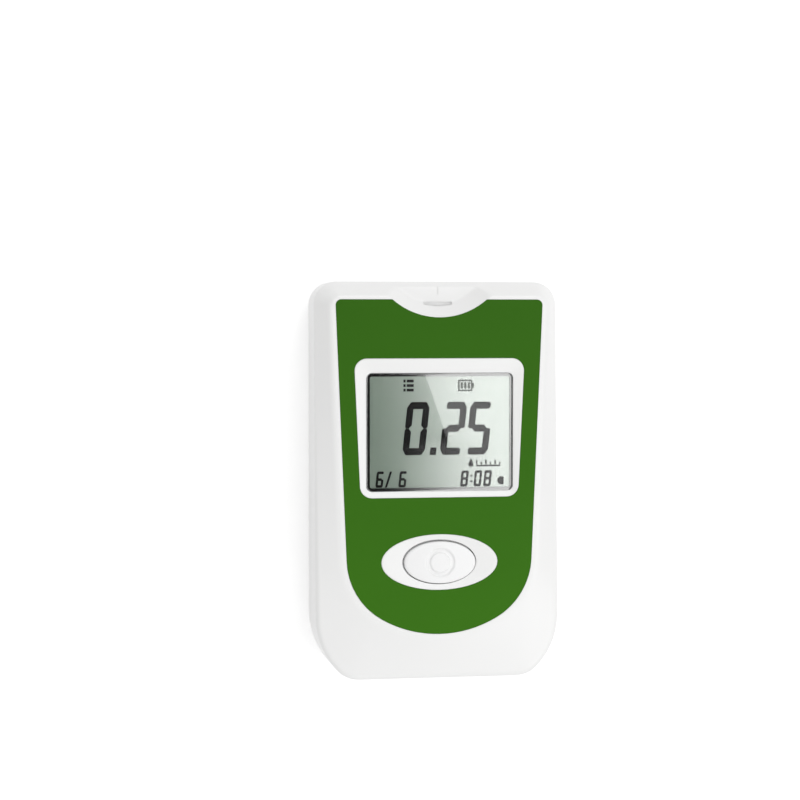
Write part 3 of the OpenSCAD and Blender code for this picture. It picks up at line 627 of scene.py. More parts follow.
def ray_radii(outline: np.ndarray, centre: tuple[float, float], turns: np.ndarray) -> np.ndarray:
    """Distance from a centre to an outline along rays.

    Args:
        outline: Points round the outline.
        centre: Where the rays start.
        turns: Directions of the rays in radians.

    Returns:
        The distance to the nearest crossing along each ray.
    """
    a = outline - np.array(centre)
    b = np.roll(a, -1, axis=0) - a
    ray = np.stack([np.cos(turns), np.sin(turns)], axis=1)
    cross = ray[:, None, 0] * b[None, :, 1] - ray[:, None, 1] * b[None, :, 0]
    with np.errstate(divide="ignore", invalid="ignore"):
        along = (a[None, :, 0] * b[None, :, 1] - a[None, :, 1] * b[None, :, 0]) / cross
        part = (a[None, :, 0] * ray[:, None, 1] - a[None, :, 1] * ray[:, None, 0]) / cross
    hit = (along > 0) & (part >= -1e-9) & (part <= 1 + 1e-9) & np.isfinite(along)
    return np.where(hit, along, np.inf).min(axis=1)


def edge_distance(points: np.ndarray, outline: np.ndarray) -> np.ndarray:
    """Signed distance of points from an outline, positive inside it.

    Args:
        points: Points in the plane.
        outline: Points round the outline, counter-clockwise.

    Returns:
        One distance for each point.
    """
    a, b = outline, np.roll(outline, -1, axis=0)
    span = b - a
    square = (span**2).sum(axis=1)
    result = np.empty(len(points))
    batch = 2000
    for first in range(0, len(points), batch):
        p = points[first : first + batch, None, :]
        share = np.clip(((p - a) * span).sum(axis=2) / square, 0, 1)
        away = p - (a + share[..., None] * span)
        far = np.sqrt((away**2).sum(axis=2)).min(axis=1)
        up = (a[:, 1] <= p[..., 1]) & (b[:, 1] > p[..., 1])
        down = (a[:, 1] > p[..., 1]) & (b[:, 1] <= p[..., 1])
        left = span[:, 0] * (p[..., 1] - a[:, 1]) - span[:, 1] * (p[..., 0] - a[:, 0])
        winding = (up & (left > 0)).sum(axis=1) - (down & (left < 0)).sum(axis=1)
        result[first : first + batch] = np.where(winding != 0, far, -far)
    return result


def soft_ramp(value: np.ndarray, width: float) -> np.ndarray:
    """Zero below 0 and the value above it, with a soft bend of the given half width."""
    bend = (value + width) ** 2 / (4 * width)
    return np.where(value < -width, 0.0, np.where(value > width, value, bend))


def soft_min(a: np.ndarray, b: np.ndarray, width: float) -> np.ndarray:
    """The lower of two heights, with a rounded edge where they cross."""
    near = np.clip(width - np.abs(a - b), 0, None) / width
    return np.minimum(a, b) - near**2 * width / 4


def neighbours(ring: list[int]) -> list[tuple[int, int]]:
    """Each number of a ring with the one after it."""
    return list(zip(ring, [*ring[1:], ring[0]]))


def signed_area(points: list[Vector]) -> float:
    """Area of an outline, which is negative when it turns clockwise."""
    return sum(a.x * b.y - b.x * a.y for a, b in zip(points, [*points[1:], points[0]])) / 2


def drop_strays(edit: bmesh.types.BMesh) -> None:
    """Takes out faces that hang free and pairs of faces that lie back to back.

    Args:
        edit: The mesh.
    """
    strays = {face for face in edit.faces if all(len(edge.link_faces) == 1 for edge in face.edges)}
    seen: dict[frozenset, bmesh.types.BMFace] = {}
    for face in edit.faces:
        corners = frozenset(face.verts)
        if corners in seen:
            strays |= {face, seen[corners]}
        seen[corners] = face
    bmesh.ops.delete(edit, geom=list(strays), context="FACES")


class Skin:
    """Collects the loops of a mesh and joins them."""

    def __init__(self) -> None:
        """Starts with no points and no faces."""
        self.points: list[tuple[float, float, float]] = []
        self.faces: list[tuple[int, ...]] = []

    def loop(self, xy: np.ndarray, z: np.ndarray | float) -> list[int]:
        """Adds the points of one loop.

        Args:
            xy: Points in the plane.
            z: One height, or one for each point.

        Returns:
            The points' numbers.
        """
        first = len(self.points)
        heights = np.broadcast_to(np.asarray(z, dtype=float), len(xy))
        self.points += [(x, y, h) for (x, y), h in zip(xy.tolist(), heights.tolist())]
        return list(range(first, len(self.points)))

    def strip(self, outer: list[int], inner: list[int]) -> list[int]:
        """Joins two loops of the same length, facing up when outer lies outside inner."""
        self.faces += [(a, b, d, c) for (a, b), (c, d) in zip(neighbours(outer), neighbours(inner))]
        return inner

    def chain(self, start: list[int], loops: list[tuple[np.ndarray, np.ndarray | float]]) -> list[int]:
        """Adds loops one after another, each joined to the one before.

        Args:
            start: The loop to start from.
            loops: Points and height of each further loop.

        Returns:
            The last loop.
        """
        for xy, z in loops:
            start = self.strip(start, self.loop(xy, z))
        return start

    def close(self, base: list[int], top: list[int]) -> None:
        """Closes a tube with a flat face at each end."""
        self.faces += [tuple(top), tuple(reversed(base))]

    def region(self, outer: list[int], holes: list[list[int]], side: Side) -> None:
        """Fills the flat region between an outer loop and the loops inside it.

        Args:
            outer: The outer loop.
            holes: The loops of the holes.
            side: Which way the region faces.
        """
        order = outer + [i for hole in holes for i in hole]
        flat = [Vector(self.points[i][:2]) for i in order]
        loops, first = [], 0
        for ring in [outer, *holes]:
            loops.append(list(range(first, first + len(ring))))
            first += len(ring)
        edges = [pair for ring in loops for pair in neighbours(ring)]
        _, _, faces, *_ = delaunay_2d_cdt(flat, edges, [], 0, TINY)
        beyond = set()  # edges in the order in which a face on the wrong side of an outline has them
        for ring in loops:
            turned = signed_area([flat[k] for k in ring]) > 0
            outward = turned if ring is loops[0] else not turned
            beyond |= {(b, a) if outward else (a, b) for a, b in neighbours(ring)}
        outlines = [np.array([self.points[i][:2] for i in ring]) for ring in [outer, *holes]]
        middles = np.array([np.mean([flat[k] for k in f], axis=0) for f in faces])
        keep = edge_distance(middles, outlines[0]) > 0
        for hole in outlines[1:]:
            keep &= edge_distance(middles, hole) < 0
        for face, good in zip(faces, keep):
            if good and not beyond.intersection(neighbours(face)):
                ring = [order[k] for k in face]
                self.faces.append(tuple(ring if side is Side.UP else reversed(ring)))

    def build(self, name: str, sharp: float = 35.0) -> bpy.types.Object:
        """Makes the object.

        Args:
            name: Name of the piece.
            sharp: Edges that turn more than this many degrees stay sharp.

        Returns:
            The new object.
        """
        mesh = bpy.data.meshes.new(name)
        mesh.from_pydata([(x * MM, y * MM, z * MM) for x, y, z in self.points], [], self.faces)
        mesh.validate()
        edit = bmesh.new()
        edit.from_mesh(mesh)
        bmesh.ops.recalc_face_normals(edit, faces=edit.faces)
        edit.to_mesh(mesh)
        edit.free()
        return new_object(mesh, sharp)


def new_object(mesh: bpy.types.Mesh, sharp: float) -> bpy.types.Object:
    """Shades a mesh and puts it into the scene under its own name.

    Args:
        mesh: The mesh.
        sharp: Edges that turn more than this many degrees stay sharp.

    Returns:
        The new object.
    """
    smooth_by_angle(mesh, sharp)
    piece = bpy.data.objects.new(mesh.name, mesh)
    bpy.context.scene.collection.objects.link(piece)
    return piece


def smooth_by_angle(mesh: bpy.types.Mesh, sharp: float) -> None:
    """Shades a mesh smooth, apart from its sharp edges.

    Args:
        mesh: The mesh.
        sharp: Edges that turn more than this many degrees stay sharp.
    """
    mesh.polygons.foreach_set("use_smooth", [True] * len(mesh.polygons))
    mesh.set_sharp_from_angle(angle=math.radians(sharp))
    mesh.update()


def dress(
    piece: bpy.types.Object,
    material: bpy.types.Material,
    body: Joint = Joint.HOUSING,
    replaces: tuple[str, ...] = (),
) -> bpy.types.Object:
    """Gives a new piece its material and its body.

    Args:
        piece: The piece.
        material: Its material.
        body: The body that it rides on.
        replaces: Nodes that it stands for.

    Returns:
        The piece.
    """
    piece.data.materials.clear()
    piece.data.materials.append(material)
    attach(piece, body.value)
    if replaces:
        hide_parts(*replaces)
    LOG.info("%s: %d faces", piece.name, len(piece.data.polygons))
    return piece


def cut_with(piece: bpy.types.Object, cutter: bpy.types.Object) -> None:
    """Cuts one mesh with another and removes the cutter.

    Args:
        piece: The object to cut.
        cutter: The object whose space is cut out.
    """
    step = piece.modifiers.new("cut", "BOOLEAN")
    step.object = cutter
    step.solver = "EXACT"
    graph = bpy.context.evaluated_depsgraph_get()
    made = bpy.data.meshes.new_from_object(piece.evaluated_get(graph))
    edit = bmesh.new()
    edit.from_mesh(made)
    bmesh.ops.triangulate(edit, faces=[face for face in edit.faces if len(face.verts) > 4])
    drop_strays(edit)
    edit.to_mesh(made)
    edit.free()
    piece.modifiers.clear()
    piece.data = made
    bpy.data.objects.remove(cutter)


def block(name: str, low: tuple[float, float, float], high: tuple[float, float, float]) -> bpy.types.Object:
    """Makes a box, for cutting.

    Args:
        name: Its name.
        low: Its lowest corner in millimetres.
        high: Its highest corner.

    Returns:
        The box.
    """
    skin = Skin()
    xy = np.array([(low[0], low[1]), (high[0], low[1]), (high[0], high[1]), (low[0], high[1])])
    base = skin.loop(xy, low[2])
    skin.close(base, skin.chain(base, [(xy, high[2])]))
    return skin.build(name)


def welded(node: bpy.types.Object) -> bmesh.types.BMesh:
    """Copies a CAD node's mesh with its points joined and its flat areas cleared of inner edges.

    Args:
        node: The node.

    Returns:
        The new mesh.
    """
    edit = bmesh.new()
    points = [edit.verts.new(v.co) for v in node.data.vertices]
    for face in node.data.polygons:
        corners = [points[i] for i in face.vertices]
        if len(set(corners)) == len(corners) and not edit.faces.get(corners):
            edit.faces.new(corners)
    bmesh.ops.remove_doubles(edit, verts=edit.verts, dist=WELD)
    bmesh.ops.dissolve_limit(edit, angle_limit=math.radians(FLAT_TURN), verts=edit.verts, edges=edit.edges)
    return edit


@dataclass
class SoftPiece:
    """A CAD node's shape with the small edge rounds and the smooth shading that the real piece has.

    Attributes:
        name: Name of the new piece.
        node: The node that it stands for.
        slot: Name of a material slot; not used.
        body: The body that it rides on.
        round: Radius of its edges in millimetres.
        sharp: Edges that turn more than this many degrees get that radius.
    """

    name: str
    node: str
    slot: str
    body: Joint = Joint.HOUSING
    round: float = 0.12
    sharp: float = 38.0

    def build(
        self, frame: dict, material: bpy.types.Material, edit: bmesh.types.BMesh | None = None
    ) -> bpy.types.Object:
        """Makes the piece.

        Args:
            frame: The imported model.
            material: Its material.
            edit: The mesh to use, or None for the node's own.

        Returns:
            The piece.
        """
        edit = edit or welded(frame["nodes"][self.node])
        mesh = bpy.data.meshes.new(self.name)
        edit.to_mesh(mesh)
        edit.free()
        piece = new_object(mesh, self.sharp)
        if self.round:
            bevel = piece.modifiers.new("edge_round", "BEVEL")
            bevel.width = self.round * MM
            bevel.segments = 2
            bevel.limit_method = "ANGLE"
            bevel.angle_limit = math.radians(self.sharp)
            bevel.use_clamp_overlap = True
            bevel.harden_normals = False
        even = piece.modifiers.new("even_shading", "WEIGHTED_NORMAL")
        even.keep_sharp = True
        return dress(piece, material, self.body, (self.node,))


@dataclass
class CasingForm:
    """Outlines and face of the casing, shared by all that is set into it.

    Attributes:
        width, length: Sizes over all.
        face, parting: Heights of the face and of the line where the two shells meet.
        wall, face_wall: Thickness of the side wall and of the face.
        top_r: Corner radius at the strip end.
        side_r, side_turn: Radius of the long bend at the lower end, and its turn in degrees.
        heel_r: Radius of the bend from there to the lower edge.
        least_r: Least corner radius of an outline that is drawn in.
        rim_drop_top, rim_drop_low: How far the face falls to the rim at the strip end and at the other.
        rim_least: Least width that this fall is spread over.
        edge_r, crease: Radius of the rim, and half width of the bend between face and fall.
        back_inset: How far the rear shell's wall is drawn in at the back.
        film_width, film_gap: Width of the film's upper edge, and how far it lies from the casing's.
        film_taper, film_straight: How far each side of the film leans in for each millimetre down,
            and the length of that side.
        film_end_r, film_end_turn: Radius of the bend at its end, and its turn in degrees.
        film_corner_r, film_play: Radius of the film's upper corners, and the gap round the film.
        film_margin, film_top_margin: How far the flat face reaches beyond the film.
        scoop_r, scoop_floor_r: Radius of the scoop's edge and of its floor, about its upright axis.
        scoop_depth, scoop_out: Depth of its floor, and how far its axis stands beyond the casing.
        scoop_wall, scoop_edge: Thickness of the wall behind it, and rounding of its edge.
        scoop_bend: Half width of the bend between its floor and flank.
        ray_y, ray_step, ray_gap: Start of the rays of the shells' loops, and the usual and the least
            angle between two of them in degrees.
        notch_rays: First and last angle of the closer rays round the notch, and their step.
    """

    width: float
    length: float
    face: float
    parting: float
    wall: float = 1.8
    face_wall: float = 2.0
    top_r: float = 5.2
    side_r: float = 17.3
    heel_r: float = 6.7
    side_turn: float = 45.0
    least_r: float = 0.3
    rim_drop_top: float = 5.35
    rim_drop_low: float = 0.75
    rim_least: float = 0.5
    edge_r: float = 1.4
    crease: float = 0.7
    back_inset: float = 4.0
    film_width: float = 47.3
    film_gap: float = 4.1
    film_taper: float = 0.0414
    film_straight: float = 58.2
    film_end_r: float = 16.0
    film_end_turn: float = 60.0
    film_corner_r: float = 1.25
    film_margin: float = 1.5
    film_top_margin: float = 1.1
    film_play: float = 0.06
    scoop_r: float = 16.5
    scoop_floor_r: float = 13.4
    scoop_depth: float = 3.2
    scoop_out: float = 8.4
    scoop_wall: float = 1.9
    scoop_edge: float = 0.45
    scoop_bend: float = 0.5
    ray_y: float = -4.0
    ray_step: float = 1.5
    notch_rays: tuple[float, float, float] = (68.0, 112.0, 0.35)
    ray_gap: float = 0.05

    def outline(self, inset: float = 0.0) -> np.ndarray:
        """The casing's outline.

        Args:
            inset: How far it is drawn in.

        Returns:
            Points round it.
        """
        side_x, end_y = self.width / 2, self.length / 2
        corner = max(self.top_r - inset, self.least_r)
        heel = max(self.heel_r - inset, self.least_r)
        turn = math.radians(self.side_turn)
        bend = (side_x - self.side_r, -end_y + self.heel_r + (self.side_r - self.heel_r) * math.sin(turn))
        heel_x = bend[0] + (self.side_r - self.heel_r) * math.cos(turn)
        return mirrored(
            arc((heel_x, -end_y + inset + heel), heel, -90, -self.side_turn)
            + arc(bend, self.side_r - inset, -self.side_turn, 0, 24)[1:]
            + arc((side_x - inset - corner, end_y - inset - corner), corner, 0, 90)
        )

    def film(self, side: float = 0.0, top: float | None = None, notch: float | None = None) -> np.ndarray:
        """The film's outline, grown by side and top, with its notch if one is asked for.

        Args:
            side: Growth at the sides and the lower end.
            top: Growth at the upper edge, the same as side if left out.
            notch: Radius of the notch, or None for an outline without it.

        Returns:
            Points round the outline.
        """
        top = side if top is None else top
        y1 = self.length / 2 - self.film_gap
        lean = math.degrees(math.atan(self.film_taper))
        low_x = self.film_width / 2 - self.film_taper * self.film_straight
        bend = (low_x - self.film_end_r, y1 - self.film_straight)
        turn = math.radians(self.film_end_turn)
        big_r = self.film_end_r + bend[0] / math.cos(turn)
        big_y = bend[1] + (big_r - self.film_end_r) * math.sin(turn)
        corner = self.film_corner_r + max(side, top)
        half = (
            arc((0, big_y), big_r + side, -90, -self.film_end_turn, 24)
            + arc(bend, self.film_end_r + side, -self.film_end_turn, -lean, 24)[1:]
            + arc((self.film_width / 2 + side - corner, y1 + top - corner), corner, -lean, 90)
        )
        if notch is not None:
            drop = self.scoop_y - (y1 + top)
            start = math.degrees(math.asin(drop / notch))
            half += arc((0, self.scoop_y), notch, -start, -90, 40)
        return mirrored(half)

    @property
    def scoop_y(self) -> float:
        """Where the scoop's upright axis stands."""
        return self.length / 2 + self.scoop_out

    @property
    def scoop_z(self) -> float:
        """Height of the scoop's floor."""
        return self.face - self.scoop_depth

    def turns(self) -> np.ndarray:
        """Directions of the rays that the shells' loops share.

        Returns:
            The directions in radians.
        """
        centre = np.array([0, self.ray_y])
        corners = np.concatenate([self.outline(), self.film(0, 0, self.scoop_r)]) - centre
        found = np.degrees(np.arctan2(corners[:, 1], corners[:, 0])) % 360
        steady = np.arange(0, 360, self.ray_step)
        notch = np.arange(*self.notch_rays)
        every = np.unique(np.round(np.concatenate([found, steady, notch]), 2))
        every = every[np.diff(every, prepend=-1) > self.ray_gap]
        return np.radians(every)

    def rays(self, outline: np.ndarray, turns: np.ndarray) -> np.ndarray:
        """Points where the shared rays cross an outline."""
        radii = ray_radii(outline, (0, self.ray_y), turns)
        return np.stack([radii * np.cos(turns), self.ray_y + radii * np.sin(turns)], axis=1)

    def height(self, xy: np.ndarray, inset: float = 0.0, drop: float = 0.0) -> np.ndarray:
        """Height of the face over points in the plane.

        Args:
            xy: Points in the plane.
            inset: Wall thickness to draw the form in by.
            drop: Face thickness to lower the form by.

        Returns:
            One height for each point.
        """
        out = np.clip(edge_distance(xy, self.outline(inset)), 0, None)
        flat = self.film(self.film_margin - inset, self.film_top_margin - inset)
        away = -edge_distance(xy, flat)
        share = np.clip(xy[:, 1] / self.length + 0.5, 0, 1)
        fall = self.rim_drop_low + (self.rim_drop_top - self.rim_drop_low) * share
        width = np.clip(away, 0, None) + out + 1e-6
        slope = fall / np.maximum(width, self.rim_least)
        z = -slope * soft_ramp(away, self.crease)
        rise = np.sqrt(1 + slope**2)
        middle = -slope * (width - self.edge_r) - self.edge_r * rise
        rounded = middle + np.sqrt(np.clip(self.edge_r**2 - (self.edge_r - out) ** 2, 0, None))
        z = np.where((out < self.edge_r * (1 - slope / rise)) & (away > 0), rounded, z)
        reach = np.hypot(xy[:, 0], xy[:, 1] - self.scoop_y)
        lean = self.scoop_depth / (self.scoop_r - self.scoop_floor_r)
        grow = self.scoop_wall if inset else 0.0
        scoop = -self.scoop_depth + lean * soft_ramp(reach - self.scoop_floor_r - grow, self.scoop_bend)
        return self.face - drop + soft_min(z, scoop, self.scoop_edge)


@dataclass
class RearForm:
    """Refines the rounded lower edge of the rear shell and of the door that runs flush with it.

    Attributes:
        form: The casing's form.
        steps: Number of level bands, finer towards the back.
        reach: How far off the rounded wall a point may lie and still belong to it.
        power: How sharply the wall bends in towards the back.
        margin: Points nearer than this to the back or the parting line stay.
        level: A point whose normal's level part is shorter than this stays.
        flat: A face whose normal is more upright than this isn't wall.
        least: Corners nearer than this many metres are joined afterwards.
    """

    form: CasingForm
    steps: int = 18
    reach: float = 0.3
    power: float = 4.0
    margin: float = 0.005
    level: float = 0.3
    flat: float = 0.95
    least: float = 5e-7

    def inset(self, z: float) -> float:
        """How far the wall is drawn in at a height."""
        return self.form.back_inset * (1 - min(z / self.form.parting, 1.0)) ** self.power

    def is_wall(self, x: float, y: float, z: float, outline: np.ndarray) -> bool:
        """Whether a point lies on the rounded wall."""
        away = edge_distance(np.array([(x, y)]), outline)[0]
        return abs(away - self.inset(z)) < self.reach

    def refine(self, edit: bmesh.types.BMesh) -> bmesh.types.BMesh:
        """Cuts the wall into fine level bands and sets them on the rounded form.

        Args:
            edit: A welded copy of the node's mesh.

        Returns:
            The same mesh, refined.
        """
        outline = self.form.outline()
        top = self.form.parting
        for step in range(1, self.steps):
            z = top * (step / self.steps) ** 2
            faces = [f for f in edit.faces if self.crosses(f, z, outline)]
            parts = faces + list({e for f in faces for e in f.edges}) + list({v for f in faces for v in f.verts})
            bmesh.ops.bisect_plane(edit, geom=parts, plane_co=(0, 0, z * MM), plane_no=(0, 0, 1), dist=TINY)
        edit.normal_update()
        for point in edit.verts:
            x, y, z = point.co / MM
            if self.margin < z < top - self.margin and self.is_wall(x, y, z, outline):
                away = edge_distance(np.array([(x, y)]), outline)[0]
                out = Vector((point.normal.x, point.normal.y))
                if out.length > self.level:
                    out.normalize()
                    point.co.x += out.x * (away - self.inset(z)) * MM
                    point.co.y += out.y * (away - self.inset(z)) * MM
        bmesh.ops.dissolve_degenerate(edit, edges=edit.edges, dist=self.least)
        return edit

    def crosses(self, face: bmesh.types.BMFace, z: float, outline: np.ndarray) -> bool:
        """Whether a face is part of the rounded wall and spans a height.

        Args:
            face: The face.
            z: The height.
            outline: The casing's outline.

        Returns:
            True if it is to be cut there.
        """
        heights = [v.co.z / MM for v in face.verts]
        if not min(heights) < z - 1e-4 < z + 1e-4 < max(heights) or abs(face.normal.z) > self.flat:
            return False
        return all(self.is_wall(v.co.x / MM, v.co.y / MM, v.co.z / MM, outline) for v in face.verts)


@dataclass
class WindowPlace:
    """Sizes of the window frame and of the lens pocket in it.

    Attributes:
        lens_low: Lower left corner of the pocket.
        lens_high: Its upper right corner.
        frame_width: Width of the white frame at its upper edge.
        frame_low_width: Its width at the lower edge.
        frame_length: Its length.
        frame_y: Its middle.
        frame_r: Its corner radius.
        corner_r: Corner radius of the pocket.
        least_r: Least corner radius of an outline that is drawn in.
        ledge: Width of the ledge that the lens lies on.
        dish: How far the frame dips towards the lens.
        corner_steps: Points in each corner of the frame.
    """

    lens_low: tuple[float, float]
    lens_high: tuple[float, float]
    frame_width: float = 38.84
    frame_low_width: float = 36.48
    frame_length: float = 31.4
    frame_y: float = 11.96
    frame_r: float = 2.8
    corner_r: float = 1.3
    least_r: float = 0.2
    ledge: float = 0.5
    dish: float = 0.28
    corner_steps: int = 24

    def frame(self) -> np.ndarray:
        """Outline of the white frame.

        Returns:
            Points round it.
        """
        r, steps = self.frame_r, self.corner_steps
        low = (self.frame_low_width / 2 - r, self.frame_y - self.frame_length / 2 + r)
        high = (self.frame_width / 2 - r, self.frame_y + self.frame_length / 2 - r)
        return mirrored(arc(low, r, -90, 0, steps) + arc(high, r, 0, 90, steps))

    @property
    def middle(self) -> tuple[float, float]:
        """Middle of the lens."""
        return (self.lens_low[0] + self.lens_high[0]) / 2, (self.lens_low[1] + self.lens_high[1]) / 2

    def pocket(self, inset: float = 0.0) -> np.ndarray:
        """Outline of the lens pocket, drawn in by inset."""
        width, length = (high - low - 2 * inset for low, high in zip(self.lens_low, self.lens_high))
        return rounded_rect(width, length, max(self.corner_r - inset, self.least_r), self.middle)


@dataclass
class KeyPlace:
    """Sizes of the oval dish and of the key in it.

    Attributes:
        middle_y: Middle of the dish.
        key_rx: Half the key's width.
        key_ry: Half its length.
        gap: Clear gap round the key.
        lean: How far the key sits off the middle of its hole.
        dish_rx: Half the dish's width.
        dish_ry: Half its length.
        dish_depth: How far the dish dips towards the key.
        crown: How far the key's face falls to its edge.
        edge_round: Radius of that edge.
        dimple_r: Radius of the dimple in the key.
        boss_r: Radius of the boss in the dimple.
        boss_edge: Width of the boss's soft edge.
        dimple_depth: Depth of the dimple.
        dimple_slope: How steeply it falls.
        dimple_edge: Rounding of its edge.
    """

    middle_y: float
    key_rx: float = 8.2
    key_ry: float = 4.77
    gap: float = 0.3
    lean: tuple[float, float] = (0.13, -0.13)
    dish_rx: float = 13.34
    dish_ry: float = 6.3
    dish_depth: float = 0.32
    crown: float = 0.25
    edge_round: float = 0.35
    dimple_r: float = 3.4
    boss_r: float = 2.4
    boss_edge: float = 0.3
    dimple_depth: float = 0.42
    dimple_slope: float = 1.3
    dimple_edge: float = 0.12


@dataclass
class FrontShell:
    """The white upper shell with its scoop, window frame and oval dish.

    Attributes:
        form: The casing's form.
        window: The window's place.
        key: The key's place.
        film_sink: Depth of the recess that the film lies in.
        recess_lean: How far its wall leans in.
        rings: Number of loops between the rim and the film.
        ceiling_rings: Number of loops between the wall and the flat ceiling inside.
        ceiling_step: How far beyond the scoop's wall the flat ceiling keeps.
        groove: Depth and height of the fine step at the parting line.
        rise: Height of the small upright edge of a white area that stands up from the film recess.
        flat_share: Share of such an area's width that stays level before it dips.
        lip: How far the area's inner edge falls into the opening, in two steps.
        slot: Width of the strip slot, and its lowest and highest point above the scoop's floor.
        slot_span: How far the slot cuts into the scoop's floor, and its length.
        mark_size: Width, length and depth of the engraved line.
        mark_y: Its middle.
        sharp: Edges that turn more than this many degrees stay sharp.
    """

    form: CasingForm
    window: WindowPlace
    key: KeyPlace
    film_sink: float = 0.2
    recess_lean: float = 0.04
    rings: int = 44
    ceiling_rings: int = 14
    ceiling_step: float = 0.6
    groove: tuple[float, float] = (0.14, 0.16)
    rise: float = 0.07
    flat_share: float = 0.12
    lip: tuple[float, float] = (0.02, 0.1)
    slot: tuple[float, float, float] = (6.6, -0.2, 0.6)
    slot_span: tuple[float, float] = (0.45, 6.0)
    mark_size: tuple[float, float, float] = (0.35, 2.2, 0.22)
    mark_y: float = 43.2
    sharp: float = 32.0

    def island(self, skin: Skin, floor: list[int], outer: np.ndarray, inner: np.ndarray, drop: float) -> list[int]:
        """Adds a raised white area that dips towards the opening in it.

        Args:
            skin: The mesh to add to.
            floor: The loop where the area rises from the film recess.
            outer: Its outline.
            inner: The edge of the opening, with as many points.
            drop: How far it dips at the opening.

        Returns:
            The loop at the opening's edge.
        """
        z, width = self.form.face, inner - outer
        loops = [(outer, z - self.rise)]
        for share in np.linspace(0, 1, 13):
            dip = drop * max(0.0, share - self.flat_share) / (1 - self.flat_share)
            loops.append((outer + width * (0.02 + 0.93 * share), z - dip))
        loops += [(outer + width * 0.985, z - drop - self.lip[0]), (inner, z - drop - self.lip[1])]
        return skin.chain(floor, loops)

    def build(self, material: bpy.types.Material) -> bpy.types.Object:
        """Makes the shell.

        Args:
            material: White moulded plastic.

        Returns:
            The shell.
        """
        form, skin = self.form, Skin()
        turns = form.turns()
        outer = form.rays(form.outline(), turns)
        film = form.rays(form.film(form.film_play, form.film_play, form.scoop_r), turns)
        rim = form.height(outer)
        groove, lift = self.groove
        start = skin.loop(form.rays(form.outline(groove), turns), form.parting)
        low = form.parting + lift
        wall = [(outer, low + (rim - low) * s) for s in (0.0, 0.33, 0.66, 1.0)]
        steps = (1 - np.cos(np.linspace(0, math.pi, self.rings + 1)[1:])) / 2
        rings = [outer + (film - outer) * s for s in steps]
        face = [(ring, form.height(ring)) for ring in rings]
        edge = skin.chain(start, wall + face)
        play = form.film_play - self.recess_lean
        inside = form.rays(form.film(play, play, form.scoop_r + self.recess_lean), turns)
        floor_z = form.face - self.film_sink
        floor = skin.chain(edge, [(inside, floor_z)])
        frame = self.window.frame()
        oval = ellipse(self.key.dish_rx, self.key.dish_ry, self.key.middle_y)
        frame_foot, oval_foot = skin.loop(frame, floor_z), skin.loop(oval, floor_z)
        skin.region(floor, [frame_foot, oval_foot], Side.UP)
        pocket = self.pair(frame, self.window.pocket())
        mouth = self.island(skin, frame_foot, frame, pocket, self.window.dish)
        shelf = self.pair(frame, self.window.pocket(self.window.ledge))
        seat_z = self.window_seat()
        ceiling_z = form.face - form.face_wall
        opening = skin.chain(mouth, [(pocket, seat_z), (shelf, seat_z), (shelf, ceiling_z)])
        hole = ellipse(self.key.key_rx + self.key.gap, self.key.key_ry + self.key.gap, self.key.middle_y)
        lip = self.island(skin, oval_foot, oval, hole, self.key.dish_depth)
        well = skin.chain(lip, [(hole, ceiling_z)])
        self.inner(skin, start, turns, opening, well)
        piece = skin.build("front_shell", self.sharp)
        cut_with(piece, self.slot_cutter())
        cut_with(piece, self.mark_cutter())
        smooth_by_angle(piece.data, self.sharp)
        return dress(piece, material, replaces=("front_cover",))

    def pair(self, outer: np.ndarray, inner: np.ndarray) -> np.ndarray:
        """Points of an inner outline on the rays through an outer outline's points.

        Args:
            outer: Points round the outer outline.
            inner: Points round the inner outline.

        Returns:
            As many points as the outer outline has.
        """
        centre = np.array(self.window.middle)
        turns = np.arctan2(*(outer - centre).T[::-1])
        radii = ray_radii(inner, tuple(centre), turns)
        return centre + radii[:, None] * np.stack([np.cos(turns), np.sin(turns)], axis=1)

    def window_seat(self) -> float:
        """Height of the ledge under the lens."""
        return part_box("window_lens")[0].z / MM

    def inner(self, skin: Skin, start: list[int], turns: np.ndarray, opening: list[int], well: list[int]) -> None:
        """Adds the inside of the shell.

        Args:
            skin: The mesh to add to.
            start: The outer loop at the parting line.
            turns: The shared rays.
            opening: The loop round the window opening.
            well: The loop round the key's hole.
        """
        form = self.form
        wall = form.rays(form.outline(form.wall), turns)
        notch = form.scoop_r + form.scoop_wall + self.ceiling_step
        flat = form.rays(form.film(-form.film_margin, -form.film_margin, notch), turns)
        last = skin.loop(wall, form.parting)
        skin.strip(last, start)
        rings = [wall + (flat - wall) * s for s in (0.0, *np.linspace(0.08, 0.97, self.ceiling_rings))]
        ceiling = skin.loop(flat, form.face - form.face_wall)
        for xy in rings:
            ring = skin.loop(xy, form.height(xy, form.wall, form.face_wall))
            skin.strip(ring, last)
            last = ring
        skin.strip(ceiling, last)
        skin.region(ceiling, [opening, well], Side.DOWN)

    def slot_cutter(self) -> bpy.types.Object:
        """Makes the space of the strip slot.

        Returns:
            The space, for cutting.
        """
        width, low, high = self.slot
        reach, length = self.slot_span
        y1, z = self.form.scoop_y - self.form.scoop_floor_r + reach, self.form.scoop_z
        return block("slot_cutter", (-width / 2, y1 - length, z + low), (width / 2, y1, z + high))

    def mark_cutter(self) -> bpy.types.Object:
        """Makes the engraved line in the scoop that points to the slot.

        Returns:
            The line's space, for cutting.
        """
        width, length, depth = self.mark_size
        y, z = self.mark_y, self.form.scoop_z
        low, high = (-width / 2, y - length / 2, z - depth), (width / 2, y + length / 2, z + 1.0)
        return block("mark_cutter", low, high)


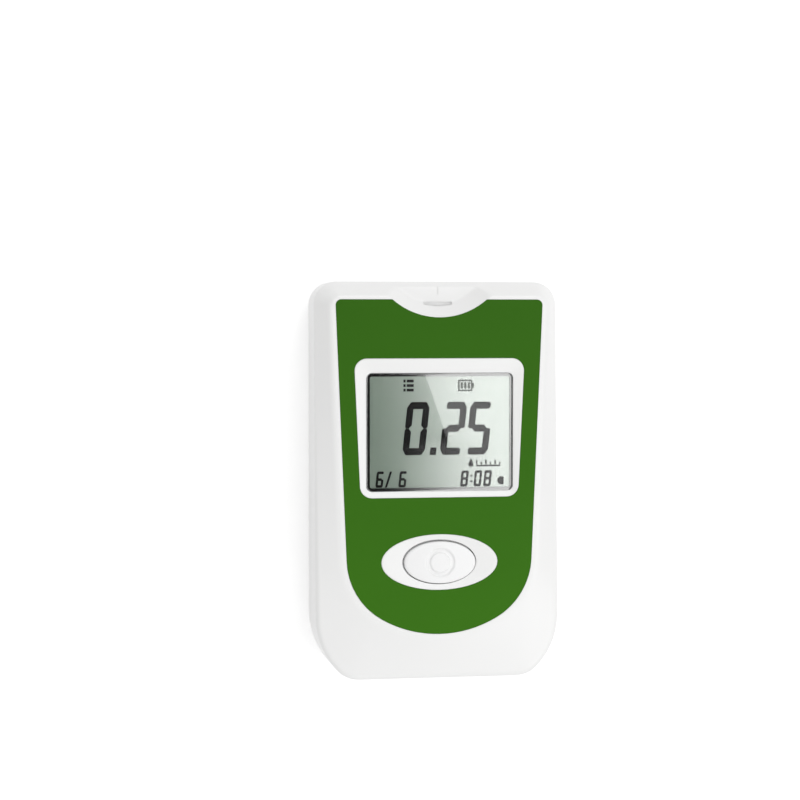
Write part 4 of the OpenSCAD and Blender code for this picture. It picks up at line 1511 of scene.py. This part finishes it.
@dataclass
class WindowPane:
    """The clear lens, the black border printed on its underside, widened inwards as painted shade where the window's
    edge shadows the display, and the display's glass under it.

    Attributes:
        window: The window's place.
        border_and_shade: Width of the black border, with a band of painted shade along its inner edge.
        play: Clear gap round the lens.
        edge: Radius of the lens's upper edge.
        face_edge: Width of the narrow ring of faces beside a rounded or upright edge.
        print_lift: Height of the print above the lens's underside.
        print_thick: Thickness of the print.
        print_play: How far the print keeps from the lens's side.
        print_shift: How far its opening sits off the middle.
        clear_gap: Gap between the lens and the display's glass.
        glass_play: Clear gap round that glass.
        glass_foot: Height of the glass's underside above the display.
    """

    window: WindowPlace
    border_and_shade: float = 0.78
    play: float = 0.03
    edge: float = 0.1
    face_edge: float = 0.3
    print_lift: float = 0.02
    print_thick: float = 0.02
    print_play: float = 0.02
    print_shift: tuple[float, float] = (0.12, 0.0)
    clear_gap: float = 0.2
    glass_play: float = 0.06
    glass_foot: float = 0.005

    def build(self, clear: bpy.types.Material, ink: bpy.types.Material) -> None:
        """Makes both pieces over the space of the lens node.

        Args:
            clear: Clear plastic.
            ink: Black printing ink.
        """
        low, high = (corner.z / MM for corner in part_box("window_lens"))
        rim = self.window.pocket(self.play)
        inner = self.window.pocket(self.play + self.edge)
        skin = Skin()
        base = skin.loop(rim, low)
        last = skin.chain(base, [(rim, high - self.edge)])
        for turn in (30, 60, 90):
            share = 1 - math.cos(math.radians(turn))
            z = high - self.edge + self.edge * math.sin(math.radians(turn))
            last = skin.strip(last, skin.loop(rim + (inner - rim) * share, z))
        last = skin.strip(last, skin.loop(self.window.pocket(self.play + self.edge + self.face_edge), high))
        skin.close(base, last)
        dress(skin.build("clear_lens", 50.0), clear, replaces=("window_lens",))
        ring = Skin()
        z = low + self.print_lift
        z_up = z + self.print_thick
        wide = self.window.pocket(self.play + self.print_play)
        # The ring reaches inwards past the printed line, painting in black the shadow that the window's edge casts
        # on the display.
        tight = self.window.pocket(self.play + self.border_and_shade) + self.print_shift
        bottom = ring.loop(wide, z)
        top = ring.chain(bottom, [(wide, z_up), (tight, z_up), (tight, z)])
        ring.strip(top, bottom)
        dress(ring.build("lens_border", 30.0), ink)

    def build_glass(self, material: bpy.types.Material) -> float:
        """Makes the display's front glass, which fills the opening under the lens.

        Args:
            material: Ground of the display.

        Returns:
            Height of its face.
        """
        play = self.window.ledge + self.glass_play
        outline, inner = self.window.pocket(play), self.window.pocket(play + self.face_edge)
        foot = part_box("lcd_cell")[1].z / MM + self.glass_foot
        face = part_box("window_lens")[0].z / MM - self.clear_gap
        skin = Skin()
        base = skin.loop(outline, foot)
        last = skin.chain(base, [(outline, face), (inner, face)])
        skin.close(base, last)
        dress(skin.build("display_glass", 30.0), material)
        return face


@dataclass
class OvalKey:
    """The rigid white key with its ringed dimple.

    Attributes:
        key: The key's place.
        points: Points in each ring of its face.
        rings: Number of those rings.
        flange: Lowest and highest point of the flange that holds the key in, above its foot.
        core: Size of the last ring as a share of the key's.
    """

    key: KeyPlace
    points: int = 192
    rings: int = 64
    flange: tuple[float, float] = (0.1, 1.0)
    core: float = 0.005

    def build(self, material: bpy.types.Material) -> bpy.types.Object:
        """Makes the key over the space of its node.

        Args:
            material: White moulded plastic.

        Returns:
            The key.
        """
        key, skin = self.key, Skin()
        low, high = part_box("main_button")
        top = high.z / MM
        flange_low, flange_high = (low.z / MM + z for z in self.flange)
        grow = (high.x - low.x) / MM / 2 - key.key_rx
        unit = ellipse(1.0, 1.0, 0.0, self.points)
        middle = np.array([key.lean[0], key.middle_y + key.lean[1]])
        wide = unit * (key.key_rx + grow, key.key_ry + grow) + (0, key.middle_y)
        edge = unit * (key.key_rx, key.key_ry) + middle
        base = skin.loop(wide, flange_low)
        side = [(wide, flange_high), (edge, flange_high), (edge, top - key.crown - key.edge_round)]
        last = skin.chain(base, side)
        for k in range(1, self.rings + 1):
            share = 1 - (k / self.rings) * (1 - self.core)
            ring = unit * (key.key_rx * share, key.key_ry * share)
            last = skin.strip(last, skin.loop(ring + middle, top + self.relief(ring, share)))
        skin.close(base, last)
        return dress(skin.build("oval_key", 40.0), material, Joint.MAIN_KEY, ("main_button",))

    def relief(self, ring: np.ndarray, share: float) -> np.ndarray:
        """Height of the key's face below its highest point.

        Args:
            ring: Points of one ring about the key's middle.
            share: The ring's size as a share of the key's.

        Returns:
            One height for each point.
        """
        key = self.key
        out = (1 - share) * key.key_ry
        crown = -key.crown * share**2
        edge = min(out, key.edge_round)
        fall = key.edge_round - math.sqrt(max(key.edge_round**2 - (key.edge_round - edge) ** 2, 0))
        reach = np.hypot(ring[:, 0], ring[:, 1])
        dimple = soft_min(np.zeros(len(ring)), (reach - key.dimple_r) * key.dimple_slope, key.dimple_edge)
        dimple = np.maximum(dimple, -key.dimple_depth)
        boss = np.clip((key.boss_r - reach) / key.boss_edge, 0, 1)
        return crown - fall + dimple + key.dimple_depth * boss * boss * (3 - 2 * boss)


class Segment(Enum):
    """The seven bars of a digit: the kind of bar, and whether it is mirrored across and upright."""

    TOP = ("across", False, False)
    BOTTOM = ("across", False, True)
    UPPER_LEFT = ("upright", False, False)
    UPPER_RIGHT = ("upright", True, False)
    LOWER_LEFT = ("upright", False, True)
    LOWER_RIGHT = ("upright", True, True)
    MIDDLE = ("middle", False, False)


class Digit(Enum):
    """Which bars are dark in each digit that the display shows."""

    ZERO = (
        Segment.TOP, Segment.UPPER_RIGHT, Segment.LOWER_RIGHT,
        Segment.BOTTOM, Segment.LOWER_LEFT, Segment.UPPER_LEFT,
    )
    TWO = (Segment.TOP, Segment.UPPER_RIGHT, Segment.MIDDLE, Segment.LOWER_LEFT, Segment.BOTTOM)
    FIVE = (Segment.TOP, Segment.UPPER_LEFT, Segment.MIDDLE, Segment.LOWER_RIGHT, Segment.BOTTOM)
    SIX = (
        Segment.TOP, Segment.UPPER_LEFT, Segment.MIDDLE,
        Segment.LOWER_RIGHT, Segment.BOTTOM, Segment.LOWER_LEFT,
    )
    EIGHT = tuple(Segment)


@dataclass(frozen=True)
class DigitForm:
    """Sizes of one digit of a seven-bar display.

    Attributes:
        width: Width over all.
        height: Height over all.
        across: Thickness of the level bars.
        upright: Thickness of the upright bars.
        corner: How far the outer corners are cut off.
        nick: How far the level bars stay clear of the digit's sides.
        gap: Half of the clear line between two bars.
    """

    width: float
    height: float
    across: float
    upright: float
    corner: float
    nick: float
    gap: float

    def bar(self, segment: Segment) -> np.ndarray:
        """Outline of one bar.

        Args:
            segment: The bar.

        Returns:
            Points round it, from the digit's lower left corner.
        """
        kind, flip_x, flip_y = segment.value
        w, h, t, u, c, n, g = self.width, self.height, self.across, self.upright, self.corner, self.nick, self.gap
        middle = h / 2
        match kind:
            case "across":
                end = [(n + t * 0.2, h - t), (n, h - t * 0.75), (n, h - c * 0.5), (c, h)]
                shape = [*end, *((w - x, y) for x, y in reversed(end))]
            case "upright":
                shape = [
                    (0, h - c * 1.5), (n - g, h - c * 0.6), (n - g, h - t * 0.72), (n + t * 0.2 - g, h - t - g),
                    (u, h - t - g), (u, middle + t * 0.45 + g), (u * 0.6, middle + g),
                    (u * 0.2, middle + g), (0, middle + u * 0.2 + g),
                ]
            case _:
                shape = [
                    (u * 0.6 + g, middle), (u + g, middle + t / 2), (w - u - g, middle + t / 2),
                    (w - u * 0.6 - g, middle), (w - u - g, middle - t / 2), (u + g, middle - t / 2),
                ]
        points = np.array(shape, dtype=float)
        if flip_x:
            points[:, 0] = w - points[:, 0]
        if flip_y:
            points[:, 1] = h - points[:, 1]
        return points


@dataclass(frozen=True)
class SignForm:
    """Places and sizes of the display's small signs.

    Attributes:
        bars: Lower left corner of the memory sign, height of its bars and the step between them.
        bar_spans: Left and right end of each bar of a row, from that corner.
        drop: Middle of the drop, its radius and its tip's place.
        scale: Lower left and upper right corner of the scale's line.
        ticks: Step between the scale's ticks, their width, and their foot, low top and high top.
        moon: Middle and radius of the moon's outer and inner arc.
        battery: Lower left and upper right corner of the battery.
        battery_line: Width of its outline.
        battery_gap: Clear gap between its parts.
        nub: Width of its pole, and how far the pole keeps from the corners.
        cells: Distance of the bars in it from its outer edge, their width and the step between them.
    """

    bars: tuple[float, float, float, float] = (-8.15, 20.2, 0.62, 1.02)
    bar_spans: tuple[tuple[float, float], ...] = ((0.0, 0.5), (0.75, 2.35))
    drop: tuple[tuple[float, float], float, tuple[float, float]] = ((7.35, 3.6), 0.58, (7.4, 5.0))
    scale: tuple[tuple[float, float], tuple[float, float]] = ((8.6, 3.1), (14.2, 3.42))
    ticks: tuple[float, float, float, float, float] = (1.06, 0.3, 3.5, 4.1, 4.6)
    moon: tuple[tuple[tuple[float, float], float], ...] = (((14.45, -0.15), 0.95), ((14.9, -0.15), 0.8))
    battery: tuple[tuple[float, float], tuple[float, float]] = ((4.4, 20.2), (7.7, 22.8))
    battery_line: float = 0.36
    battery_gap: float = 0.01
    nub: tuple[float, float] = (0.35, 0.75)
    cells: tuple[float, float, float] = (0.6, 0.55, 0.8)


@dataclass
class Display:
    """The dark marks of the segment display: the reading, date, time and small signs.

    Attributes:
        top: Height of the display's face.
        thick: Thickness of the marks.
        slant: How far the digits lean right for each millimetre up.
        reading: Sizes of the reading's digits.
        reading_y: Base line of the reading.
        reading_at: Its digits and where each one's left side is.
        point: Left side, right side and height of its point.
        clock: Sizes of the digits of date and time.
        clock_y: Their base line.
        clock_at: Those digits and where each one's left side is.
        colon: Left and right side of the time's two dots, their feet above the base line and height.
        stroke: The date's stroke: left sides of its foot and top, its width and height.
        signs: The small signs.
    """

    top: float
    thick: float = 0.03
    slant: float = 0.11
    reading: DigitForm = DigitForm(5.15, 12.0, 1.6, 1.5, 0.85, 0.5, 0.012)
    reading_y: float = 5.8
    reading_at: tuple[tuple[Digit, float], ...] = ((Digit.ZERO, -8.48), (Digit.TWO, 0.11), (Digit.FIVE, 6.07))
    point: tuple[float, float, float] = (-2.13, -0.71, 1.7)
    clock: DigitForm = DigitForm(1.7, 3.65, 0.58, 0.52, 0.28, 0.12, 0.01)
    clock_y: float = -1.45
    clock_at: tuple[tuple[Digit, float], ...] = (
        (Digit.SIX, -14.6), (Digit.SIX, -9.35), (Digit.EIGHT, 4.85), (Digit.ZERO, 7.95), (Digit.EIGHT, 10.2),
    )
    colon: tuple[float, float, tuple[float, float], float] = (7.25, 7.75, (1.0, 2.25), 0.4)
    stroke: tuple[float, float, float, float] = (-12.4, -11.25, 0.5, 3.6)
    signs: SignForm = SignForm()

    def lean(self, points: np.ndarray, base: float) -> np.ndarray:
        """Slants points about a base line."""
        return points + np.stack([(points[:, 1] - base) * self.slant, np.zeros(len(points))], axis=1)

    def plate(self, skin: Skin, outline: np.ndarray) -> None:
        """Adds a thin dark plate on the display."""
        foot = skin.loop(outline, self.top)
        skin.close(foot, skin.chain(foot, [(outline, self.top + self.thick)]))

    def rect(self, skin: Skin, low: tuple[float, float], high: tuple[float, float]) -> None:
        """Adds a thin dark rectangle."""
        self.plate(skin, np.array([low, (high[0], low[1]), high, (low[0], high[1])]))

    def digits(self, skin: Skin, form: DigitForm, places: tuple[tuple[Digit, float], ...], y: float) -> None:
        """Adds a row of slanted digits.

        Args:
            skin: The mesh to add to.
            form: Sizes of each digit.
            places: The digits and where each one's left side is.
            y: Base line of the row.
        """
        for which, x in places:
            for segment in which.value:
                self.plate(skin, self.lean(form.bar(segment) + (x, y), y))

    def build(self, dark: bpy.types.Material, pale: bpy.types.Material) -> None:
        """Makes all the marks.

        Args:
            dark: Dark segment ink.
            pale: The weaker ink of a segment that is half on.
        """
        for name, add, ink in (
            ("display_reading", self.add_reading, dark),
            ("display_clock", self.add_clock, dark),
            ("display_signs", self.add_signs, dark),
            ("display_battery_sign", self.add_battery, pale),
        ):
            skin = Skin()
            add(skin)
            dress(skin.build(name), ink)

    def add_reading(self, skin: Skin) -> None:
        """Adds the large reading.

        Args:
            skin: The mesh to add to.
        """
        y, (x0, x1, tall) = self.reading_y, self.point
        self.digits(skin, self.reading, self.reading_at, y)
        self.plate(skin, self.lean(np.array([(x0, y), (x1, y), (x1, y + tall), (x0, y + tall)]), y))

    def add_clock(self, skin: Skin) -> None:
        """Adds the date and the time.

        Args:
            skin: The mesh to add to.
        """
        y = self.clock_y
        self.digits(skin, self.clock, self.clock_at, y)
        x0, x1, feet, tall = self.colon
        for foot in feet:
            self.rect(skin, (x0, y + foot), (x1, y + foot + tall))
        low_x, high_x, width, tall = self.stroke
        self.plate(skin, np.array([(low_x, y), (low_x + width, y), (high_x + width, y + tall), (high_x, y + tall)]))

    def add_signs(self, skin: Skin) -> None:
        """Adds the memory bars, the drop on its scale and the moon.

        Args:
            skin: The mesh to add to.
        """
        signs = self.signs
        x, y, tall, step = signs.bars
        for row in range(3):
            for start, end in signs.bar_spans:
                self.rect(skin, (x + start, y + row * step), (x + end, y + row * step + tall))
        centre, radius, tip = signs.drop
        self.plate(skin, np.array(arc(centre, radius, -200, 20, 14) + [tip]))
        self.rect(skin, *signs.scale)
        step, width, foot, low, high = signs.ticks
        for tick in range(6):
            x = signs.scale[0][0] + tick * step
            self.rect(skin, (x, foot), (x + width, low if tick % 2 else high))
        outer, inner = signs.moon
        self.plate(skin, np.array(arc(*outer, 57, 303, 20) + arc(*inner, 274.8, 85.2, 16)))

    def add_battery(self, skin: Skin) -> None:
        """Adds the battery sign.

        Args:
            skin: The mesh to add to.
        """
        signs = self.signs
        (x0, y0), (x1, y1) = signs.battery
        line, gap = signs.battery_line, signs.battery_gap
        for low, high in ((y0, y0 + line), (y1 - line, y1)):
            self.rect(skin, (x0, low), (x1, high))
        for low, high in ((x0, x0 + line), (x1 - line, x1)):
            self.rect(skin, (low, y0 + line + gap), (high, y1 - line - gap))
        reach, clear = signs.nub
        self.rect(skin, (x1 + gap, y0 + clear), (x1 + reach, y1 - clear))
        inset, width, step = signs.cells
        for bar in range(3):
            x = x0 + inset + bar * step
            self.rect(skin, (x, y0 + inset), (x + width, y1 - inset))


@dataclass(frozen=True)
class Lamp:
    """A soft square lamp that points at the meter.

    Attributes:
        name: Name of the lamp.
        at: Where it stands, in metres.
        size: Length of its sides in metres.
        power: Its power in watts.
    """

    name: str
    at: tuple[float, float, float]
    size: float
    power: float

    def build(self) -> None:
        """Makes the lamp."""
        data = bpy.data.lights.new(self.name, "AREA")
        data.shape = "SQUARE"
        data.size = self.size
        data.energy = self.power
        lamp = bpy.data.objects.new(self.name, data)
        bpy.context.scene.collection.objects.link(lamp)
        lamp.location = self.at
        lamp.rotation_mode = "QUATERNION"
        lamp.rotation_quaternion = Vector(self.at).to_track_quat("Z", "Y")


@dataclass
class GlareCard:
    """A card over the meter that its display mirrors: dark at the left and bright at the right.

    Attributes:
        low: Lower left corner in millimetres.
        high: Upper right corner in millimetres.
        height: Height of the card in millimetres.
        edge: A point on the bright part's sharp left edge.
        lean: How far that edge leans left for each millimetre up.
        soft: Half width of that edge.
        sharp_y: Below the first height the light has no edge, and above the second it has.
        rise: Where the light starts and ends its slow rise below that.
        dawn: Where the weak light left of the sharp edge starts and ends its rise.
        dawn_share: Share of the full brightness that it reaches.
        fall: Where it starts and ends its fall to plain white, further right.
        glow: Brightness of the bright part.
        low_share: Share of that brightness where the light has no edge.
        plain: Brightness of the part beyond the fall.
        dark: Brightness of the dark part.
    """

    low: tuple[float, float] = (-120.0, -260.0)
    high: tuple[float, float] = (520.0, 420.0)
    height: float = 620.0
    edge: tuple[float, float] = (106.0, 9.0)
    lean: float = 0.35
    soft: float = 1.0
    sharp_y: tuple[float, float] = (-32.0, -21.0)
    rise: tuple[float, float] = (84.0, 146.0)
    dawn: tuple[float, float] = (82.0, 116.0)
    dawn_share: float = 0.12
    fall: tuple[float, float] = (190.0, 330.0)
    glow: float = 2.5
    low_share: float = 0.95
    plain: float = 1.0
    dark: float = 0.03

    def build(self) -> None:
        """Makes the card, which is seen only by glossy and clear surfaces."""
        skin = Skin()
        (x0, y0), (x1, y1) = self.low, self.high
        xy = np.array([(x0, y0), (x0, y1), (x1, y1), (x1, y0)])
        skin.faces.append(tuple(skin.loop(xy, self.height)))
        card = skin.build("glare_card")
        card.data.materials.append(self.material())
        for flag in ("visible_camera", "visible_diffuse", "visible_shadow"):
            setattr(card, flag, False)

    def material(self) -> bpy.types.Material:
        """Makes the card's glow.

        Returns:
            The material.
        """
        material, wiring = new_material("glare_card")
        wiring.nodes.remove(wiring.nodes["Principled BSDF"])
        axes = wiring.axes()
        x, y = axes["X"], axes["Y"]
        start = self.edge[0] + self.lean * self.edge[1]
        leaning = wiring.math("MULTIPLY_ADD", y, self.lean, x)
        sharp = self.step(wiring, leaning, (start - self.soft, start + self.soft))
        slow = wiring.math("MULTIPLY", self.step(wiring, x, self.rise), self.low_share)
        early = wiring.math("MULTIPLY", self.step(wiring, x, self.dawn), self.dawn_share)
        both = wiring.mix(self.step(wiring, y, self.sharp_y), slow, sharp)
        bright = wiring.ramp(self.step(wiring, x, self.fall), (self.glow, self.plain))
        strength = wiring.ramp(wiring.math("MAXIMUM", both, early), (self.dark, bright))
        glow = wiring.add("Emission", {"Strength": strength}).outputs["Emission"]
        wiring.feed(wiring.nodes["Material Output"], {"Surface": glow})
        return material

    def step(
        self, wiring: Wiring, value: bpy.types.NodeSocket, limits: tuple[float, float]
    ) -> bpy.types.NodeSocket:
        """Adds a smooth step from 0 to 1.

        Args:
            wiring: The material's nodes.
            value: The value that steps, in metres.
            limits: Where the step starts and ends, in millimetres.

        Returns:
            The step.
        """
        return wiring.ramp(value, (0.0, 1.0), (limits[0] * MM, limits[1] * MM), "SMOOTHSTEP")


@dataclass
class Studio:
    """Floor, light and camera."""

    camera_at: tuple[float, float, float] = (-88.3, 36.5, 484.9)
    yaw: float = 9.666
    pitch: float = 2.206
    lens: float = 94.5
    sensor: float = 36.0
    ambient: float = 0.73
    floor_half: float = 900.0
    floor_z: float = -0.02
    floor_tone: float = 0.86
    floor_rough: float = 0.9
    floor_lift: float = 0.35
    lamps: tuple[Lamp, ...] = (
        Lamp("top_lamp", (0.20, 0.62, 0.62), 0.45, 1.5),
        Lamp("side_lamp", (0.28, -0.16, 0.42), 0.25, 0.36),
        Lamp("low_lamp", (0.05, -0.60, 0.35), 0.35, 0.5),
    )

    def build(self) -> None:
        """Makes the floor, the lamps, the world and the camera."""
        self.floor()
        self.world()
        for lamp in self.lamps:
            lamp.build()
        GlareCard().build()
        self.camera()

    def floor(self) -> None:
        """Makes the pale floor, white to the camera where no shadow falls."""
        skin, half = Skin(), self.floor_half
        xy = np.array([(-half, -half), (half, -half), (half, half), (-half, half)])
        skin.faces.append(tuple(skin.loop(xy, self.floor_z)))
        floor = skin.build("studio_floor")
        material, wiring = new_material("studio_floor")
        paint = {
            "Base Color": (self.floor_tone, self.floor_tone, self.floor_tone, 1.0),
            "Roughness": self.floor_rough,
            "Emission Color": WHITE,
            "Emission Strength": wiring.math("MULTIPLY", self.seen_mask(wiring), self.floor_lift),
        }
        wiring.feed(wiring.nodes["Principled BSDF"], paint)
        floor.data.materials.append(material)

    def seen_mask(self, wiring: Wiring) -> bpy.types.NodeSocket:
        """Adds a mask of what the camera sees, straight or in a glossy or clear surface.

        Args:
            wiring: The nodes of the material or the world.

        Returns:
            1 for such rays and 0 for light on the object.
        """
        path = wiring.add("LightPath").outputs
        seen = wiring.math("MAXIMUM", path["Is Camera Ray"], path["Is Glossy Ray"])
        return wiring.math("MAXIMUM", seen, path["Is Transmission Ray"])

    def world(self) -> None:
        """Makes the even studio surround."""
        world = bpy.data.worlds.new("studio")
        bpy.context.scene.world = world
        world.use_nodes = True
        wiring = Wiring(world.node_tree)
        light = wiring.ramp(self.seen_mask(wiring), (self.ambient, 1.0))
        wiring.feed(wiring.nodes["Background"], {"Color": WHITE, "Strength": light})

    def camera(self) -> None:
        """Makes the camera where the photograph was taken from."""
        yaw, pitch = math.radians(self.yaw), math.radians(self.pitch)
        right = Vector((math.cos(yaw), 0, math.sin(yaw)))
        back = Vector((-math.cos(pitch) * math.sin(yaw), math.sin(pitch), math.cos(pitch) * math.cos(yaw)))
        up = back.cross(right)
        turn = Matrix((right, up, back)).transposed()
        data = bpy.data.cameras.new("camera")
        data.lens = self.lens
        data.sensor_width = self.sensor
        data.clip_start = 0.01
        camera = bpy.data.objects.new("camera", data)
        bpy.context.scene.collection.objects.link(camera)
        camera.matrix_world = Matrix.Translation(Vector(self.camera_at) * MM) @ turn.to_4x4()
        bpy.context.scene.camera = camera


@dataclass
class Meter:
    """The whole meter, dressed.

    Attributes:
        frame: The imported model.
        groups: The shared node groups.
        lens_low: From the lower left corner of the lens node to that of the pocket in the photo.
        lens_high: The same for the upper right corner.
        mark_gap: Gap between the display's glass and its marks.
        band: Where a cell's bright band starts and ends, as shares of half its length.
    """

    frame: dict
    groups: Groups = field(default_factory=Groups)
    lens_low: tuple[float, float] = (-0.06, -0.36)
    lens_high: tuple[float, float] = (0.26, 0.06)
    mark_gap: float = 0.005
    band: tuple[float, float] = (0.55, 0.56)

    def finish_of(self, finish: Coating) -> bpy.types.Material:
        """Builds one finish."""
        return finish.build(self.groups)

    def paint(self, material: bpy.types.Material, *names: str) -> None:
        """Gives carried-over nodes a material.

        Args:
            material: The material.
            names: The nodes.
        """
        for name in names:
            piece = self.frame["nodes"][name]
            piece.data.materials.clear()
            piece.data.materials.append(material)
            smooth_by_angle(piece.data, 30.0)
            LOG.info("%s painted with %s", name, material.name)

    def places(self) -> tuple[CasingForm, WindowPlace, KeyPlace]:
        """Reads the places of the casing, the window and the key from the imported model.

        Returns:
            The forms that the pieces share.
        """
        box, lens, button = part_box("front_cover"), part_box("window_lens"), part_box("main_button")
        form = CasingForm(
            width=(box[1].x - box[0].x) / MM,
            length=(box[1].y - box[0].y) / MM,
            face=box[1].z / MM,
            parting=box[0].z / MM,
        )
        window = WindowPlace(
            lens_low=(lens[0].x / MM + self.lens_low[0], lens[0].y / MM + self.lens_low[1]),
            lens_high=(lens[1].x / MM + self.lens_high[0], lens[1].y / MM + self.lens_high[1]),
        )
        return form, window, KeyPlace(middle_y=(button[0].y + button[1].y) / 2 / MM)

    def build(self) -> None:
        """Makes every piece and dresses every node."""
        form, window, key = self.places()
        white = self.finish_of(Finish("moulded_white", (0.855, 0.855, 0.85), 0.34, grain_depth=0.000003))
        self.front(form, window, key, white)
        self.screen(window)
        self.back(form, white)
        self.battery_side()
        self.inside()

    def front(self, form: CasingForm, window: WindowPlace, key: KeyPlace, white: bpy.types.Material) -> None:
        """Makes the front shell, the film and the key.

        Args:
            form: The casing's form.
            window: The window's place.
            key: The key's place.
            white: White moulded plastic.
        """
        FrontShell(form, window, key).build(white)
        OvalKey(key).build(self.finish_of(Finish("key_white", (0.88, 0.88, 0.88), 0.36)))
        # The film's green is darkened towards the strip end as painted shade, not as a change in its print.
        green = Finish("film_green", (0.0385, 0.156, 0.0047), 0.55, drift=0.12, specular=0.08, scuff=0.03, painted_shade=0.21)
        SoftPiece("printed_film", "face_film", "film", round=0.03).build(self.frame, self.finish_of(green))

    def screen(self, window: WindowPlace) -> None:
        """Makes the window and the marks of the display.

        Args:
            window: The window's place.
        """
        # This black ink covers both the printed border and the painted shade along its inner edge.
        border_and_shade = Finish("border_ink", (0.006, 0.006, 0.006), 0.04, drift=0.0, scuff=0.0, ior=2.8)
        pane = WindowPane(window)
        pane.build(self.finish_of(ClearFinish("lens_clear")), self.finish_of(border_and_shade))
        ground = self.finish_of(DisplayFinish("display_ground", (0.163, 0.226, 0.171)))
        self.paint(ground, "lcd_cell")
        ink = Finish("segment_ink", (0.004, 0.004, 0.004), 0.6, drift=0.0, specular=0.05)
        pale = replace(ink, name="segment_pale", colour=(0.09, 0.1, 0.09))
        top = pane.build_glass(ground) + self.mark_gap
        Display(top).build(self.finish_of(ink), self.finish_of(pale))

    def back(self, form: CasingForm, white: bpy.types.Material) -> None:
        """Makes the rear shell, the door, the setting key, the screws and the label.

        Args:
            form: The casing's form.
            white: White moulded plastic.
        """
        wall = RearForm(form)
        for name, node, slot, body in (
            ("rear_shell", "rear_cover", "shell", Joint.HOUSING),
            ("door_panel", "battery_door", "shell", Joint.DOOR),
        ):
            edit = wall.refine(welded(self.frame["nodes"][node]))
            SoftPiece(name, node, slot, body, round=0.1).build(self.frame, white, edit)
        grey = self.finish_of(Finish("key_grey", (0.2, 0.2, 0.22), 0.5))
        SoftPiece("setting_key", "set_button", "set_key", Joint.SET_KEY, round=0.15).build(self.frame, grey)
        zinc = Finish("screw_zinc", (0.56, 0.57, 0.6), 0.32, 1.0, drift=0.08, scuff=0.15, rolled=0.000004)
        steel = self.finish_of(zinc)
        SoftPiece("shell_screws", "case_screws", "screw", round=0.08).build(self.frame, steel)
        self.paint(steel, "board_screws")
        paper = Finish("paper_sticker", (0.74, 0.74, 0.72), 0.7, grain_scale=900.0, grain_depth=0.00001)
        SoftPiece("bare_sticker", "rear_label", "sticker", round=0.03).build(self.frame, self.finish_of(paper))

    def battery_side(self) -> None:
        """Makes the cells and dresses their springs and contacts."""
        middle = (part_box("battery_cell_1")[0].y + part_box("battery_cell_1")[1].y) / 2
        for number, plus in ((1, 1.0), (2, -1.0)):
            low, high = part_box(f"battery_cell_{number}")
            reach = plus * (high.y - low.y) / 2
            start, end = (middle + reach * share for share in self.band)
            sleeve = SleeveFinish(f"cell_sleeve_{number}", start, end)
            piece = SoftPiece(f"cell_{number}", f"battery_cell_{number}", "cell", round=0.35)
            piece.build(self.frame, self.finish_of(sleeve))
        plate = Finish("nickel_plate", (0.66, 0.64, 0.6), 0.28, 1.0, drift=0.06, scuff=0.12, rolled=0.000003)
        tin = self.finish_of(plate)
        for number in (1, 2):
            coil = SoftPiece(f"coil_{number}", f"battery_spring_{number}", "tin", round=0.0, sharp=60.0)
            coil.build(self.frame, tin)
        for kind in ("plus", "minus", "link"):
            SoftPiece(f"{kind}_plate", f"battery_{kind}_contact", "tin", round=0.06).build(self.frame, tin)

    def inside(self) -> None:
        """Dresses what the closed casing hides."""
        for finish, *names in (
            (Finish("moulded_black", (0.02, 0.02, 0.022), 0.45), "processor", "buzzer", "main_switch", "set_switch"),
            (Finish("foam_black", (0.03, 0.03, 0.03), 0.9, grain_depth=0.00004), "window_seal"),
            (Finish("moulded_cream", (0.70, 0.69, 0.63), 0.5), "lcd_holder", "strip_connector"),
            (Finish("elastomer_pink", (0.6, 0.25, 0.27), 0.7), "lcd_connectors"),
            (BoardFinish("board_green"), "circuit_board"),
            (Finish("ceramic_tan", (0.35, 0.24, 0.13), 0.4, drift=0.1), "board_parts"),
            (Finish("tinned_can", (0.62, 0.62, 0.62), 0.3, 1.0, drift=0.06, rolled=0.000003), "crystal"),
            (Finish("gold_plate", (0.85, 0.62, 0.25), 0.25, 1.0, drift=0.05), "strip_contacts"),
            (Finish("pin_red", (0.5, 0.06, 0.04), 0.4), "main_switch_plunger", "set_switch_plunger"),
        ):
            self.paint(self.finish_of(finish), *names)


def main() -> None:
    """Builds the studio and the meter."""
    logging.basicConfig(level=logging.INFO, format="%(name)s: %(message)s")
    for old in list(bpy.data.objects):
        bpy.data.objects.remove(old)
    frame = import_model()
    bpy.context.scene.view_settings.view_transform = "Standard"
    Studio().build()
    Meter(frame).build()


if __name__ == "__main__":
    main()
